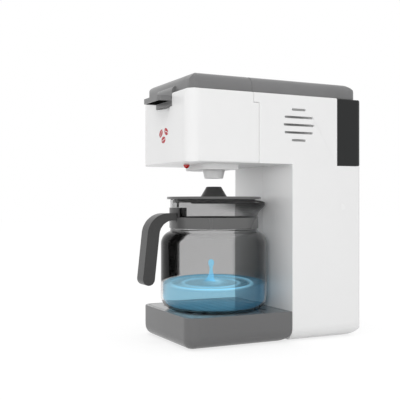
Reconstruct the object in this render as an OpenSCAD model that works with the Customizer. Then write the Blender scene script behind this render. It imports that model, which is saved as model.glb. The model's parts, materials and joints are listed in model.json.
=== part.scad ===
// Toy coffee maker: a sensor-started play machine with a pump, a rear water tank and a carafe.
// Millimetres. +Z is up, the front faces -Y, the origin is the middle of the footprint at the floor.
// Inside the modules, Y is first counted backwards from the machine's front face.

/* [Housing] */
// Width of the housing, side to side
body_w = 103; // [100:1:118]
// Depth of the rear column, front face to back face
column_d = 75.3; // [72:0.1:88]
// Height of the head's white walls
head_h = 60.5; // [58:0.5:72]
// Wall thickness of the plastic shells
wall = 2.2; // [1.8:0.1:2.6]
// Plan radius of the two front corners
front_corner_r = 11; // [8:1:14]
// Plan radius of the two back corners
rear_corner_r = 5; // [4:0.5:8]
// Radius of the column's bottom edges
foot_edge_r = 13; // [9:1:15]
// Radius of the white walls' top edge under the lid
top_edge_r = 1.7; // [1:0.1:1.8]
// How far the seam of the head lies behind the brew axis
seam_behind = 11.7; // [11.5:0.1:14.5]
// How much further back the seam runs below the step
seam_step = 5.4; // [4:0.1:6]
// Depth of the seam's step below the lid line
seam_step_drop = 8.7; // [8:0.1:12]
// Visible gap between two shells at a seam
seam_gap = 0.3; // [0.2:0.05:0.5]

/* [Lid] */
// Height of the lid above the lid line
lid_h = 14; // [13:0.5:18]
// How far the lid stands inside the white walls
lid_inset = 3.5; // [3:0.1:5]
// Radius of the lid's long top edges
lid_edge_r = 9; // [6:0.5:11]
// Radius of the lid's rounded back end
lid_back_r = 13; // [8:0.5:13.5]
// How far the lid ends before the back of the body
lid_back_gap = 3.8; // [3:0.1:8]
// Half width of the tongue and tab at the front of the lid
tab_half_w = 17; // [14:0.5:20]
// How far the tab stands forward of the front face
tab_reach = 12.6; // [9:0.1:14]
// Thickness of the tab
tab_t = 4.3; // [3.5:0.1:5]
// Depth of the tongue's lower edge below the lid line
tongue_drop = 11; // [10:0.5:13]
// Depth of the finger scoop below the tongue
scoop_d = 3; // [2:0.1:3.2]
// Height of the finger scoop
scoop_h = 16; // [12:0.5:18]
// Radius of the finger scoop's round hollow
scoop_r = 34; // [28:1:40]
// Radius of the hinge pin of the flip lid
hinge_pin_r = 1.2; // [1:0.1:1.5]

/* [Water tank] */
// Depth of the tank, front to back
tank_d = 27.2; // [24:0.1:30]
// Height of the tank
tank_h = 60.3; // [52:0.1:60.3]
// Wall thickness of the tank
tank_wall = 1.8; // [1.5:0.1:2.2]
// Outer radius of the tank's outlet nipple
nipple_r = 4; // [3:0.1:5]

/* [Drip tray] */
// Height of the tray with its feet
tray_h = 27.2; // [24:0.1:32]
// Radius of the tray's bottom edges at the sides
tray_edge_r = 12; // [8:0.5:13]
// Radius of the tray's bottom edge at the front
tray_toe_r = 8; // [6:0.5:12]
// Radius of the tray's bottom edge at the back
tray_heel_r = 9; // [6:0.5:12]
// Thickness of the slotted drip plate
grille_t = 2.2; // [1.8:0.1:2.8]
// Width of the rim round the drip plate
tray_rim = 4; // [3.5:0.5:6]
// Length of one drip slot
slot_len = 70; // [56:1:74]
// Width of one drip slot
slot_w = 3; // [2.4:0.1:4]
// Distance from one drip slot to the next
slot_pitch = 9.6; // [8.8:0.1:12]
// Height of the rubber feet under the base
foot_h = 0.5; // [0.4:0.1:1.5]

/* [Carafe] */
// How far the jug stands behind the front of the base
jug_front_gap = 1.4; // [1:0.1:4]
// How far the jug stands inside the side of the base
jug_side_gap = 3.6; // [3:0.1:8]
// Height of the carafe's round body, up to its shoulder
carafe_body_h = 69.7; // [62:0.1:80]
// Height of the carafe's neck above the shoulder
neck_h = 28; // [26:0.2:34]
// Step in radius from the jug's body to its neck
neck_step = 8.6; // [8:0.1:11]
// Wall thickness of the carafe
carafe_wall = 1.8; // [1.4:0.1:2.4]
// Radius of the carafe's bottom edge
carafe_foot_r = 11; // [9:0.5:15]
// Radius of the carafe's shoulder
shoulder_r = 12; // [9:0.5:14]
// How far the spout's tip stands out beyond the jug's body
spout_lead = 1.9; // [1:0.1:3.5]
// Height of the strap round the neck
band_h = 9.8; // [8:0.1:11]
// Thickness of the strap round the neck
band_t = 0.8; // [0.6:0.1:1.4]
// Width of the handle
handle_w = 14; // [12:0.5:18]
// Thickness of the handle's grip
handle_t = 11; // [9:0.5:13]
// How far the handle stands out beyond the jug's body
handle_out = 23.6; // [22:0.1:30]
// Height of the handle's lower end above the carafe's foot
handle_end_h = 23.4; // [20:0.2:32]
// Outward lean of the grip, in degrees
handle_lean = 6.3; // [4:0.1:8]
// How far the jug's lid reaches over its neck
jug_lid_rim = 3; // [2.8:0.1:5]
// Thickness of the carafe's lid
carafe_lid_t = 2.2; // [1.8:0.1:3]
// Height of the filling cone on the carafe's lid
cone_h = 9.1; // [7:0.1:11]

/* [Brewing head] */
// Free height between the filling cone and the outlet nozzle
pour_gap = 7.4; // [7.2:0.1:12]
// How far the outlet nozzle hangs below the head
nozzle_drop = 11.8; // [9:0.1:13]
// Thickness of the plate under the head
under_plate_t = 4.6; // [3:0.1:5]
// Radius of the play filter basket
basket_r = 23; // [18:0.5:24]
// Depth of the play filter basket
basket_d = 34; // [24:0.5:36]

/* [Works] */
// Radius of the pump's motor
motor_r = 12; // [10:0.5:13]
// Height of the pump's motor
motor_h = 26; // [20:0.5:30]
// Radius of the motor shaft
shaft_r = 1; // [0.8:0.05:1.2]
// Running clearance round the shaft and the pins, on the radius
run_gap = 0.08; // [0.04:0.01:0.1]
// Outer radius of the water tubes
tube_r = 2.5; // [2:0.1:3]
// Wall thickness of the water tubes
tube_wall = 0.8; // [0.5:0.1:1]
// Radius of one battery
cell_r = 7.1; // [6.5:0.1:7.3]
// Length of one battery
cell_len = 50.5; // [48:0.1:51]
// Radius of the loudspeaker
speaker_r = 18; // [16:0.5:19]
// Length of the longest sound slot
sound_slot_len = 31.3; // [26:0.1:33]
// Distance from one sound slot to the next
sound_pitch = 6.7; // [6:0.1:7]
// Height of one sound slot
sound_slot_w = 1.9; // [1.5:0.1:2.4]

/* [Hidden] */

$fn = 64;
fit_gap = 0.3;
tiny_gap = 0.1;
slip = 0.05;

// The jug fills the base's width, and its other sizes follow from it
half_w = body_w / 2;
carafe_r = half_w - jug_side_gap;
neck_r = carafe_r - neck_step;
carafe_lid_r = neck_r + jug_lid_rim;
spout_reach = carafe_r + spout_lead;
handle_reach = carafe_r + handle_out;
brew_y = carafe_r + jug_front_gap;

// Heights, from the floor upwards
vessel_z = tray_h + tiny_gap;
shoulder_z = vessel_z + carafe_body_h;
neck_z = shoulder_z + neck_h;
cone_z = neck_z + carafe_lid_t;
nozzle_z = cone_z + cone_h + pour_gap;
head_z = nozzle_z + nozzle_drop;
lid_z = head_z + head_h;
top_z = lid_z + lid_h;
tongue_z = lid_z - tongue_drop;
scoop_lip = 2.5;

// Depths, from the front face backwards
spout_gap = 0.9;
spout_r = 10;
spout_lean = 35;
spout_h = 17;
column_y = brew_y + spout_reach + spout_gap;
back_y = column_y + column_d;
lid_back_y = back_y - lid_back_gap;
seam_upper_y = brew_y + seam_behind;
seam_lower_y = seam_upper_y + seam_step;
tank_y = back_y - tank_d;
recess_y = tank_y - fit_gap;
recess_z = lid_z - fit_gap - tank_h - fit_gap;

// The footprint runs from the handle's front to the back face
overhang = handle_reach - brew_y;
front_y = -(back_y - overhang) / 2;

// Hinge of the flip lid
hinge_drop = 3.6;
hinge_y = seam_upper_y - hinge_drop;
hinge_z = top_z - hinge_drop;
hinge_half_w = half_w - lid_inset - lid_edge_r;
knuckle_r = hinge_pin_r + 1;
ear_x = hinge_half_w - 5;
ear_w = 4;

// Band and handle
band_z = shoulder_z + 2.3;
handle_top_z = band_z + band_h + 3.6;
root_h = 6.2;
lug_z = handle_top_z - root_h / 2 + 1.3;
lug_half_w = 9.5;
lug_h = 8.5;

// Basket
basket_y = basket_r + 8.5;
deck_z = lid_z - 6;
deck_t = 2;
basket_flange = 2.5;

// Pump: the outlet, at the side of the wheel, lies on the middle plane
pump_x = -9.5;
pump_y = recess_y - wall - 7;
pump_z = recess_z - 37;
pump_r = motor_r + 2;
pump_h = 13;
pump_lid_t = 2;
stub_len = 6;
stub_wall = 1.4;
bracket_lift = 6;
bracket_h = 8;
bracket_t = 2;
bracket_half_w = 8;
outlet_z = pump_z + 7;
tube_bend_r = 7;
socket_z = recess_z + 9;
nipple_len = 8;
feed_z = head_z + 9;
riser_y = column_y + 11;

// Batteries stand side by side behind a door in the back face
cell_pitch = 2 * cell_r + 1.1;
cell_count = 3;
box_half_w = cell_count * cell_pitch / 2 + 1.6;
box_h = cell_len + 6;
box_z = 30;
box_t = 1.5;
box_d = 2 * cell_r + 3;
door_t = 2;
door_margin = 3;
door_boss_h = 10;
door_z0 = box_z - door_margin;
door_z1 = box_z + box_h + door_boss_h;
door_half_w = box_half_w + door_margin;
door_screw_z = box_z + box_h + door_boss_h / 2;
door_screw_len = 9;
box_y1 = back_y - wall - tiny_gap;
box_y0 = box_y1 - box_d;
cell_y = box_y0 + box_t + cell_r + fit_gap;
cell_z = box_z + box_t + 1.3;
box_flange = 5;
box_flange_half_w = door_half_w + box_flange;

// Sensor
sensor_y = 22;
lens_r = 2.8;

// Plate under the head and the nozzle in it
under_half_w = 27;
under_corner_r = 13;
under_y0 = sensor_y + lens_r + 4.5;
under_y1 = seam_lower_y - 6;
under_flange_t = 1.5;
nozzle_r = 10;
nozzle_tip_r = 8.3;
chamber_r = 12.5;
chamber_z = head_z + wall + under_flange_t;
chamber_h = feed_z + tube_r + 2.5 - chamber_z;

// Tank mouth and socket
mouth_half_w = 30;
socket_r = nipple_r + 3;

// Carafe lid
skirt_d = 3;
plug_d = 4;
plug_r = 20.5;
funnel_r = 4;

// Power switch in the back wall
switch_x = 32;
switch_z = 118;
switch_slot = 14;
switch_travel = 5;
switch_half_h = 2.5;

// Screws between the tray and the column
tray_screw_x = 30;
tray_screw_z = 14;

// Main board on posts
board_t = 1.6;
board_x = -half_w + wall + 3;
board_y0 = seam_lower_y + 16;
board_y1 = recess_y - wall - 14;
board_z0 = head_z + 8;
board_z1 = lid_z - 17;
chip_at = [8, 8];
chip_size = [2, 12, 10];
plug_at = [27, 4];
plug_size = [5, 12, 5];
cap_at = [30, 20];
cap_h = 8;
cap_r = 4;
board_posts = [[board_y0 + 4, board_z1 - 4], [board_y1 - 4, board_z1 - 4],
    [board_y0 + 4, board_z0 + 4], [board_y1 - 4, board_z0 + 4]];

// Sound slots, as shares of the longest one
sound_y = seam_lower_y + 40.3;
speaker_ring_h = 3;
speaker_ring_t = 1.5;
speaker_rim_t = 2;
speaker_cone_h = 5;
speaker_magnet_h = 5;
speaker_magnet_r = speaker_r * 0.5;
sound_drop = 26.2;
sound_shares = [0.46, 0.936, 1, 0.936, 0.46];

// Screws
boss_r = 4;
screw_head_r = 2.8;
screw_r = 1.4;
pilot_r = screw_r + slip;
boss_points = [[column_y + 9, 15], [back_y - 9, 15], [back_y - 9, recess_z - 9],
    [column_y + 8, 92], [seam_lower_y + 8, lid_z - 9], [recess_y - 8, lid_z - 9]];
boss_sink = 9;
screw_len = 22;

// Moves depths counted from the front face to the part's own frame
module from_front() {
    translate([0, front_y, 0]) children();
}

// Rectangle from lo to hi; the radii run anticlockwise from the low corner
module round_rect(lo, hi, radii) {
    corners = [lo, [hi[0], lo[1]], hi, [lo[0], hi[1]]];
    difference() {
        translate(lo) square([hi[0] - lo[0], hi[1] - lo[1]]);
        for (i = [0:3]) {
            if (radii[i] > 0) translate(corners[i]) rotate(90 * i) corner_bit(radii[i]);
        }
    }
}

// What a corner of radius r loses
module corner_bit(r) {
    difference() {
        translate([-1, -1]) square(r + 1);
        translate([r, r]) circle(r);
    }
}

// Plan outline standing on low z
module plan_extrude(z0, z1) {
    translate([0, 0, z0]) linear_extrude(z1 - z0) children();
}

// Front view outline (X, Z) running from depth y0 to y1
module front_extrude(y0, y1) {
    translate([0, y1, 0]) rotate([90, 0, 0]) linear_extrude(y1 - y0) children();
}

// Side view outline (Y, Z) running from x0 to x1
module side_extrude(x0, x1) {
    translate([x0, 0, 0]) rotate([90, 0, 90]) linear_extrude(x1 - x0) children();
}

// Round bar along +Y from depth y0 to y1
module bar_y(x, z, y0, y1, r) {
    translate([x, y0, z]) rotate([-90, 0, 0]) cylinder(h = y1 - y0, r = r);
}

// Round bar along +X from x0 to x1
module bar_x(y, z, x0, x1, r) {
    translate([x0, y, z]) rotate([0, 90, 0]) cylinder(h = x1 - x0, r = r);
}

// Upright round bar
module bar_z(x, y, z0, z1, r) {
    translate([x, y, z0]) cylinder(h = z1 - z0, r = r);
}

// Block between two corners
module block(lo, hi) {
    translate(lo) cube([hi[0] - lo[0], hi[1] - lo[1], hi[2] - lo[2]]);
}

// Side view of the rear housing, taken in by t, open to the front and the top when t > 0
module rear_side_outline(t) {
    open = t > 0 ? 4 : 0;
    difference() {
        union() {
            round_rect([seam_upper_y - open, head_z + t], [back_y - t, lid_z + open],
                [0, 0, 0, 0]);
            round_rect([column_y + t, foot_h + t], [back_y - t, head_z + t + 1],
                [3, foot_edge_r - t, 0, 0]);
        }
        translate([recess_y - t, recess_z - t]) square([tank_d + 10, lid_z]);
        if (t == 0) {
            translate([0, 0]) square([seam_lower_y, lid_z - seam_step_drop]);
        }
    }
}

// Rear housing as a solid, taken in by t
module rear_solid(t) {
    intersection() {
        side_extrude(-half_w + t, half_w - t) rear_side_outline(t);
        plan_extrude(0, top_z) round_rect([-half_w + t, -1], [half_w - t, back_y - t],
            [0, 0, rear_corner_r - t, rear_corner_r - t]);
        front_extrude(-1, back_y + 1) rear_front_outline(t);
    }
}

// Front view of the rear housing, taken in by t
module rear_front_outline(t) {
    top_r = t > 0 ? 0 : top_edge_r;
    round_rect([-half_w + t, foot_h + t], [half_w - t, t > 0 ? top_z : lid_z],
        [foot_edge_r - t, foot_edge_r - t, top_r, top_r]);
}

// Thin-walled rear housing with its openings
module rear_shell() {
    difference() {
        rear_solid(0);
        rear_solid(wall);
        // battery door and battery box
        block([-door_half_w - fit_gap, back_y - wall - 1, door_z0 - fit_gap],
            [door_half_w + fit_gap, back_y + 1, door_z1 + fit_gap]);
        // power switch
        block([switch_x - switch_slot / 2, back_y - wall - 1, switch_z - switch_half_h],
            [switch_x + switch_slot / 2, back_y + 1, switch_z + switch_half_h]);
        // tank socket
        bar_y(pump_x, socket_z, recess_y - wall - 1, recess_y + 1, socket_r - 1);
        // drip tray screws
        for (side = [-1, 1]) {
            bar_y(side * tray_screw_x, tray_screw_z, column_y - 1, column_y + wall + 1, pilot_r + slip);
        }
    }
}

// Left half, which takes the heads of the housing screws
module rear_shell_left() {
    color("white") from_front() difference() {
        union() {
            intersection() {
                rear_shell();
                block([-body_w, -1, 0], [-seam_gap / 2, back_y + 1, top_z]);
            }
            for (p = boss_points) bar_x(p[0], p[1], -half_w + wall / 2, -seam_gap / 2, boss_r);
            for (p = board_posts) {
                bar_x(p[0], p[1], -half_w + wall / 2, board_x, 3);
                bar_x(p[0], p[1], -half_w + wall / 2, board_x + board_t + 0.8, 1.5);
            }
        }
        for (p = boss_points) {
            bar_x(p[0], p[1], -body_w, -boss_sink, screw_head_r + fit_gap);
            bar_x(p[0], p[1], -body_w, 1, screw_r + fit_gap);
        }
    }
}

// Right half, with the sound slots
module rear_shell_right() {
    color("white") from_front() difference() {
        union() {
            intersection() {
                rear_shell();
                block([seam_gap / 2, -1, 0], [body_w, back_y + 1, top_z]);
            }
            for (p = boss_points) bar_x(p[0], p[1], seam_gap / 2, half_w - wall / 2, boss_r);
            // ring that holds the loudspeaker
            difference() {
                bar_x(sound_y, lid_z - sound_drop, half_w - wall - speaker_ring_h, half_w - wall / 2,
                    speaker_r + speaker_ring_t);
                bar_x(sound_y, lid_z - sound_drop, half_w - wall - speaker_ring_h - 1, half_w - wall,
                    speaker_r + tiny_gap);
            }
        }
        for (p = boss_points) bar_x(p[0], p[1], 0, screw_len - boss_sink + 2, pilot_r);
        for (i = [0:len(sound_shares) - 1]) {
            side_extrude(half_w - wall - 1, half_w + 1) sound_slot(i);
        }
    }
}

// One round-ended sound slot
module sound_slot(i) {
    long = sound_slot_len * sound_shares[i];
    z = lid_z - sound_drop + sound_pitch * (len(sound_shares) - 1) / 2 - i * sound_pitch;
    r = sound_slot_w / 2;
    translate([sound_y - long / 2 + r, z - r]) square([long - 2 * r, 2 * r]);
    for (s = [-1, 1]) translate([sound_y + s * (long / 2 - r), z]) circle(r);
}

// Screws through the left half into the bosses of the right half
module housing_screws() {
    color("silver") from_front() {
        for (p = boss_points) {
            bar_x(p[0], p[1], -boss_sink - 2, -boss_sink, screw_head_r);
            bar_x(p[0], p[1], -boss_sink, screw_len - boss_sink, screw_r);
        }
    }
}

// Front cover of the head: front, sides and floor in one shell, open to the back and the top
module head_front_cover() {
    color("white") from_front() difference() {
        union() {
            difference() {
                cover_solid(0);
                cover_solid(wall);
            }
            intersection() {
                cover_solid(wall / 2);
                finger_scoop(wall, tongue_z + scoop_lip);
            }
        }
        finger_scoop(0, tongue_z + scoop_lip + 1);
        // step of the seam
        block([-body_w, seam_upper_y - seam_gap, lid_z - seam_step_drop - seam_gap],
            [body_w, seam_lower_y + 1, top_z]);
        // notch for the lid's tongue
        block([-tab_half_w - fit_gap, -1, tongue_z - fit_gap],
            [tab_half_w + fit_gap, wall + 1, top_z]);
        // opening for the plate under the head
        plan_extrude(head_z - 1, head_z + wall + 1) round_rect([-under_half_w, under_y0],
            [under_half_w, under_y1], [under_corner_r, under_corner_r, 2, 2]);
        bar_z(0, sensor_y, head_z - 1, head_z + wall + 1, lens_r + slip);
    }
}

// Leaning round hollow below the tongue, grown by t and ending at the height z1
module finger_scoop(t, z1) {
    lean = atan(scoop_d / scoop_h);
    z0 = tongue_z - scoop_h;
    intersection() {
        translate([0, -scoop_r / cos(lean), z0]) rotate([-lean, 0, 0]) translate([0, 0, -scoop_h])
            cylinder(h = 3 * scoop_h, r = scoop_r + t);
        block([-half_w, -scoop_r, z0 - scoop_h], [half_w, back_y, z1]);
    }
}

module cover_solid(t) {
    open = t > 0 ? 1 : 0;
    intersection() {
        plan_extrude(head_z + t, lid_z + open) round_rect([-half_w + t, t],
            [half_w - t, seam_lower_y - seam_gap + open],
            [front_corner_r - t, front_corner_r - t, 0, 0]);
        front_extrude(-1, back_y) round_rect([-half_w + t, head_z + t],
            [half_w - t, lid_z + 2 * open],
            [max(2 - t, 0), max(2 - t, 0), top_edge_r * (1 - open), top_edge_r * (1 - open)]);
        side_extrude(-body_w, body_w) round_rect([t, head_z + t], [back_y, lid_z + 2 * open],
            [max(2 - t, 0), 0, 0, top_edge_r * (1 - open)]);
    }
}

// Plate that carries the outlet nozzle and closes the opening under the head
module head_base_plate() {
    color("gainsboro") from_front() difference() {
        union() {
            plan_extrude(head_z - under_plate_t, head_z + wall) round_rect(
                [-under_half_w + slip, under_y0 + slip], [under_half_w - slip, under_y1 - slip],
                [under_corner_r - slip, under_corner_r - slip, 2, 2]);
            block([-under_half_w - 3, under_y0 - 1.6, head_z + wall],
                [under_half_w + 3, under_y1 + 3, chamber_z]);
        }
        bar_z(0, brew_y, head_z - under_plate_t - 1, chamber_z + 1, nozzle_r + slip);
    }
}

// Outlet nozzle with its water chamber
module outlet_nozzle() {
    color("whitesmoke") from_front() difference() {
        union() {
            bar_z(0, brew_y, head_z - under_plate_t, chamber_z, nozzle_r);
            translate([0, brew_y, nozzle_z]) cylinder(h = nozzle_drop - under_plate_t,
                r1 = nozzle_tip_r, r2 = nozzle_r);
            bar_z(0, brew_y, chamber_z, chamber_z + chamber_h, chamber_r);
            bar_y(0, feed_z, brew_y, brew_y + chamber_r + 4, tube_r + stub_wall);
        }
        bar_z(0, brew_y, nozzle_z - 1, nozzle_z + 5, 2);
        bar_z(0, brew_y, nozzle_z + 5, feed_z + tube_r, 4.5);
        bar_y(0, feed_z, brew_y, brew_y + chamber_r + 5, tube_r + slip);
    }
}

// Red domed window of the cup sensor
module sensor_lens() {
    color("red") from_front() difference() {
        union() {
            bar_z(0, sensor_y, head_z - 0.4, head_z + wall + 1, lens_r);
            translate([0, sensor_y, head_z - 0.4]) intersection() {
                sphere(r = lens_r);
                translate([0, 0, -lens_r]) cylinder(h = lens_r, r = lens_r + 1);
            }
            bar_z(0, sensor_y, head_z + wall, head_z + wall + 1, lens_r + 1.2);
        }
        bar_z(0, sensor_y, head_z, head_z + wall + 2, 1.6);
    }
}

// Small board with the light and the eye that see the cup
module sensor_board() {
    z = head_z + wall + 1;
    color("darkgreen") from_front() {
        block([-11, sensor_y - 6, z], [11, sensor_y + 3.4, z + 1.4]);
        bar_z(0, sensor_y, z + 1.4, z + 4, 2.4);
    }
}

// Fixed back part of the lid, open underneath, with a rim that drops into the shells
module rear_top_cover() {
    color("dimgray") from_front() difference() {
        union() {
            difference() {
                lid_solid(0, seam_upper_y + seam_gap / 2, lid_back_y);
                lid_solid(wall, seam_upper_y + wall, lid_back_y - wall);
            }
            top_cover_rim();
            for (side = [-1, 1]) hinge_ear(side);
        }
        bar_x(hinge_y, hinge_z, -hinge_half_w - 1, hinge_half_w + 1, hinge_pin_r + slip);
    }
}

// Ear of the fixed cover that holds one end of the hinge pin: a post below the axis on a foot
module hinge_ear(side) {
    x0 = side * ear_x - ear_w / 2;
    side_extrude(x0, x0 + ear_w) {
        translate([hinge_y, hinge_z]) circle(knuckle_r);
        translate([hinge_y - knuckle_r, lid_z + 2.5]) square([knuckle_r, hinge_z - lid_z - 2.5]);
        translate([hinge_y - knuckle_r, lid_z + 2.5]) square([hinge_drop + knuckle_r + wall, 3]);
    }
}

module top_cover_rim() {
    gap = wall + fit_gap;
    difference() {
        block([-half_w + gap, seam_lower_y + 1.5, lid_z - 3],
            [half_w - gap, recess_y - gap, lid_z + 0.5]);
        block([-half_w + gap + 1.6, seam_lower_y + 3.1, lid_z - 4],
            [half_w - gap - 1.6, recess_y - gap - 1.6, lid_z + 1]);
    }
}

// Lid between two depths, taken in by t; the back end is rounded where it reaches lid_back_y
module lid_solid(t, y0, y1) {
    low = t > 0 ? lid_z - 1 : lid_z;
    is_back = y1 > seam_upper_y + lid_back_r;
    intersection() {
        front_extrude(y0, y1) round_rect([-half_w + lid_inset + t, low],
            [half_w - lid_inset - t, top_z - t], [0, 0, lid_edge_r - t, lid_edge_r - t]);
        side_extrude(-body_w, body_w) round_rect([y0, low], [y1, top_z - t],
            [0, 0, is_back ? lid_back_r - t : 0, is_back ? 0 : lid_edge_r - t]);
        plan_extrude(low - 1, top_z + 1) round_rect([-half_w + lid_inset + t, y0],
            [half_w - lid_inset - t, y1],
            is_back ? [0, 0, 6, 6] : [front_corner_r - 3, front_corner_r - 3, 0, 0]);
    }
}

// Lid that flips up, with its tongue and finger tab
module flip_lid() {
    lid_y0 = lid_inset;
    lid_y1 = seam_upper_y - seam_gap / 2;
    color("dimgray") from_front() difference() {
        union() {
            difference() {
                lid_solid(0, lid_y0, lid_y1);
                lid_solid(wall, lid_y0 + wall, hinge_y - knuckle_r - wall);
                flip_lid_back_edge();
                for (side = [-1, 1]) ear_slot(side * ear_x, ear_w + 2 * fit_gap);
            }
            tongue();
        }
        bar_x(hinge_y, hinge_z, -hinge_half_w, hinge_half_w, hinge_pin_r + run_gap);
    }
}

// Rounds the top back edge of the flip lid about the hinge axis
module flip_lid_back_edge() {
    difference() {
        block([-body_w, hinge_y, hinge_z], [body_w, seam_upper_y + 1, top_z + 1]);
        bar_x(hinge_y, hinge_z, -body_w, body_w, hinge_drop - seam_gap / 2);
    }
}

// Room in the flip lid for an ear, which swings out of it below and behind
module ear_slot(x, w) {
    side_extrude(x - w / 2, x + w / 2) {
        translate([hinge_y - knuckle_r - wall, lid_z - 1])
            square([hinge_drop + knuckle_r + wall + 1, hinge_z - lid_z + 1]);
        translate([hinge_y, hinge_z]) circle(knuckle_r + fit_gap);
    }
}

// Tongue in the front wall and the finger tab, hollow from below
module tongue() {
    tab_z = tongue_z + 4;
    side_extrude(-tab_half_w, tab_half_w) difference() {
        round_rect([0, tongue_z], [lid_inset + wall, lid_z + 6], [0, 0, 0, 5]);
        translate([wall, tongue_z - 1]) square([lid_inset + wall, tongue_drop + 0.6]);
    }
    difference() {
        plan_extrude(tab_z, tab_z + tab_t) round_rect([-tab_half_w, -tab_reach], [tab_half_w, 1],
            [3, 3, 0, 0]);
        plan_extrude(tab_z - 1, tab_z + tab_t - 1.6) round_rect([-tab_half_w + 1.6, -tab_reach + 1.6],
            [tab_half_w - 1.6, -1], [1.4, 1.4, 1, 1]);
    }
}

// Steel pin of the flip lid
module lid_hinge_pin() {
    color("silver") from_front() bar_x(hinge_y, hinge_z, -hinge_half_w + 3, hinge_half_w - 3,
        hinge_pin_r);
}

// Deck under the flip lid, with the seat of the filter basket
module brew_deck() {
    gap = wall + fit_gap;
    color("gainsboro") from_front() difference() {
        plan_extrude(deck_z, deck_z + deck_t) round_rect([-half_w + gap, gap],
            [half_w - gap, seam_upper_y - 1], [8, 8, 0, 0]);
        bar_z(0, basket_y, deck_z - 1, deck_z + deck_t + 1, basket_r + fit_gap);
        // room for the lid's tongue
        block([-tab_half_w - 1, 0, deck_z - 1], [tab_half_w + 1, gap + 0.6, deck_z + deck_t + 1]);
    }
}

// Play filter basket with a flange, a drain and two finger lugs
module filter_basket() {
    z1 = deck_z + deck_t + tiny_gap;
    z0 = z1 - basket_d;
    color("slategray") from_front() difference() {
        union() {
            bar_z(0, basket_y, z0, z1 + 1.2, basket_r);
            bar_z(0, basket_y, z1, z1 + 1.2, basket_r + basket_flange);
        }
        bar_z(0, basket_y, z0 + 1.6, z1 + 2, basket_r - 1.6);
        for (a = [0:60:300]) translate([0, basket_y, 0]) rotate(a) bar_z(9, 0, z0 - 1, z0 + 2, 1.2);
        bar_z(0, basket_y, z0 - 1, z0 + 2, 2.2);
    }
}

// Rear tank with a filling mouth, carried on its shelf and plugged in by its nipple
module water_tank() {
    z0 = lid_z - fit_gap - tank_h;
    z1 = lid_z - fit_gap;
    color([0.2, 0.2, 0.21]) from_front() difference() {
        union() {
            tank_solid(z0, z1, 0);
            bar_y(pump_x, socket_z, tank_y - nipple_len, tank_y + tank_wall, nipple_r);
        }
        tank_solid(z0, z1, tank_wall);
        // filling mouth
        plan_extrude(z1 - tank_wall - 1, z1 + 1) round_rect([-mouth_half_w, tank_y + 4],
            [mouth_half_w, tank_y + 18], [4, 4, 4, 4]);
        bar_y(pump_x, socket_z, tank_y - nipple_len - 1, tank_y + tank_wall + 1, nipple_r - 1.4);
    }
}

module tank_solid(z0, z1, t) {
    intersection() {
        plan_extrude(z0 + t, z1 - t) round_rect([-half_w + t, tank_y + t], [half_w - t, back_y - t],
            [0, 0, rear_corner_r - t, rear_corner_r - t]);
        side_extrude(-body_w, body_w) round_rect([tank_y + t, z0 + t], [back_y - t, z1 - t],
            [0, 0, max(3 - t, 0.5), 0]);
    }
}

// Socket in the shelf's wall that takes the tank's nipple and leads down to the pump
module tank_socket() {
    y0 = recess_y - wall - 12;
    color("gray") from_front() difference() {
        union() {
            bar_y(pump_x, socket_z, y0, recess_y - wall, socket_r);
            bar_y(pump_x, socket_z, recess_y - wall, recess_y - tiny_gap, socket_r - 1 - slip);
            bar_z(pump_x, y0 + 5, socket_z - socket_r - 5, socket_z, tube_r + stub_wall);
        }
        bar_y(pump_x, socket_z, y0 + 2, recess_y + 1, nipple_r + run_gap);
        bar_y(pump_x, socket_z, recess_y - wall - 3.5, recess_y - wall - 1.5, nipple_r + 1.2);
        bar_z(pump_x, y0 + 5, socket_z - socket_r - 6, socket_z, tube_r + slip);
    }
}

// Rubber ring in the socket's groove
module socket_seal() {
    y1 = recess_y - wall - 1.5;
    color("black") from_front() difference() {
        bar_y(pump_x, socket_z, y1 - 1.95, y1 - 0.05, nipple_r + 1.15);
        bar_y(pump_x, socket_z, y1 - 3, y1 + 1, nipple_r + run_gap);
    }
}

// Tray with its basin and the rebate for the drip plate
module base_tray() {
    t = 2.4;
    y1 = column_y - seam_gap;
    ledge = 2;
    color("dimgray") from_front() difference() {
        tray_solid(0);
        intersection() {
            tray_solid(t);
            plan_extrude(foot_h + t, tray_h) round_rect(
                [-half_w + tray_rim + ledge, tray_rim + ledge],
                [half_w - tray_rim - ledge, y1 - tray_rim - ledge], [6, 6, 2, 2]);
        }
        plan_extrude(tray_h - grille_t - tiny_gap, tray_h + 1) grille_outline(fit_gap);
        for (side = [-1, 1]) {
            bar_y(side * tray_screw_x, tray_screw_z, y1 - tray_rim - ledge - 1, y1 + 1,
                screw_r + fit_gap);
        }
    }
}

module tray_solid(t) {
    y1 = column_y - seam_gap;
    intersection() {
        plan_extrude(foot_h + t, tray_h) round_rect([-half_w + t, t], [half_w - t, y1 - t],
            [front_corner_r - t, front_corner_r - t, 0, 0]);
        front_extrude(-1, column_y) round_rect([-half_w + t, foot_h + t], [half_w - t, tray_h],
            [tray_edge_r - t, tray_edge_r - t, 0, 0]);
        side_extrude(-body_w, body_w) round_rect([t, foot_h + t], [y1 - t, tray_h],
            [tray_toe_r - t, tray_heel_r - t, 0, 0]);
    }
}

// Outline of the drip plate, grown by g
module grille_outline(g) {
    y1 = column_y - seam_gap - tray_rim;
    round_rect([-half_w + tray_rim - g, tray_rim - g], [half_w - tray_rim + g, y1 + g],
        [front_corner_r - tray_rim + g, front_corner_r - tray_rim + g, 2, 2]);
}

// Slotted plate that the carafe stands on
module drip_grille() {
    y_mid = tray_rim + (column_y - seam_gap - 2 * tray_rim) / 2;
    count = floor((column_y - 2 * tray_rim - 8) / slot_pitch);
    color("gray") from_front() difference() {
        plan_extrude(tray_h - grille_t, tray_h) grille_outline(0);
        for (i = [0:count - 1]) {
            y = y_mid + (i - (count - 1) / 2) * slot_pitch;
            plan_extrude(tray_h - grille_t - 1, tray_h + 1) drip_slot(y);
        }
    }
}

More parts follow.
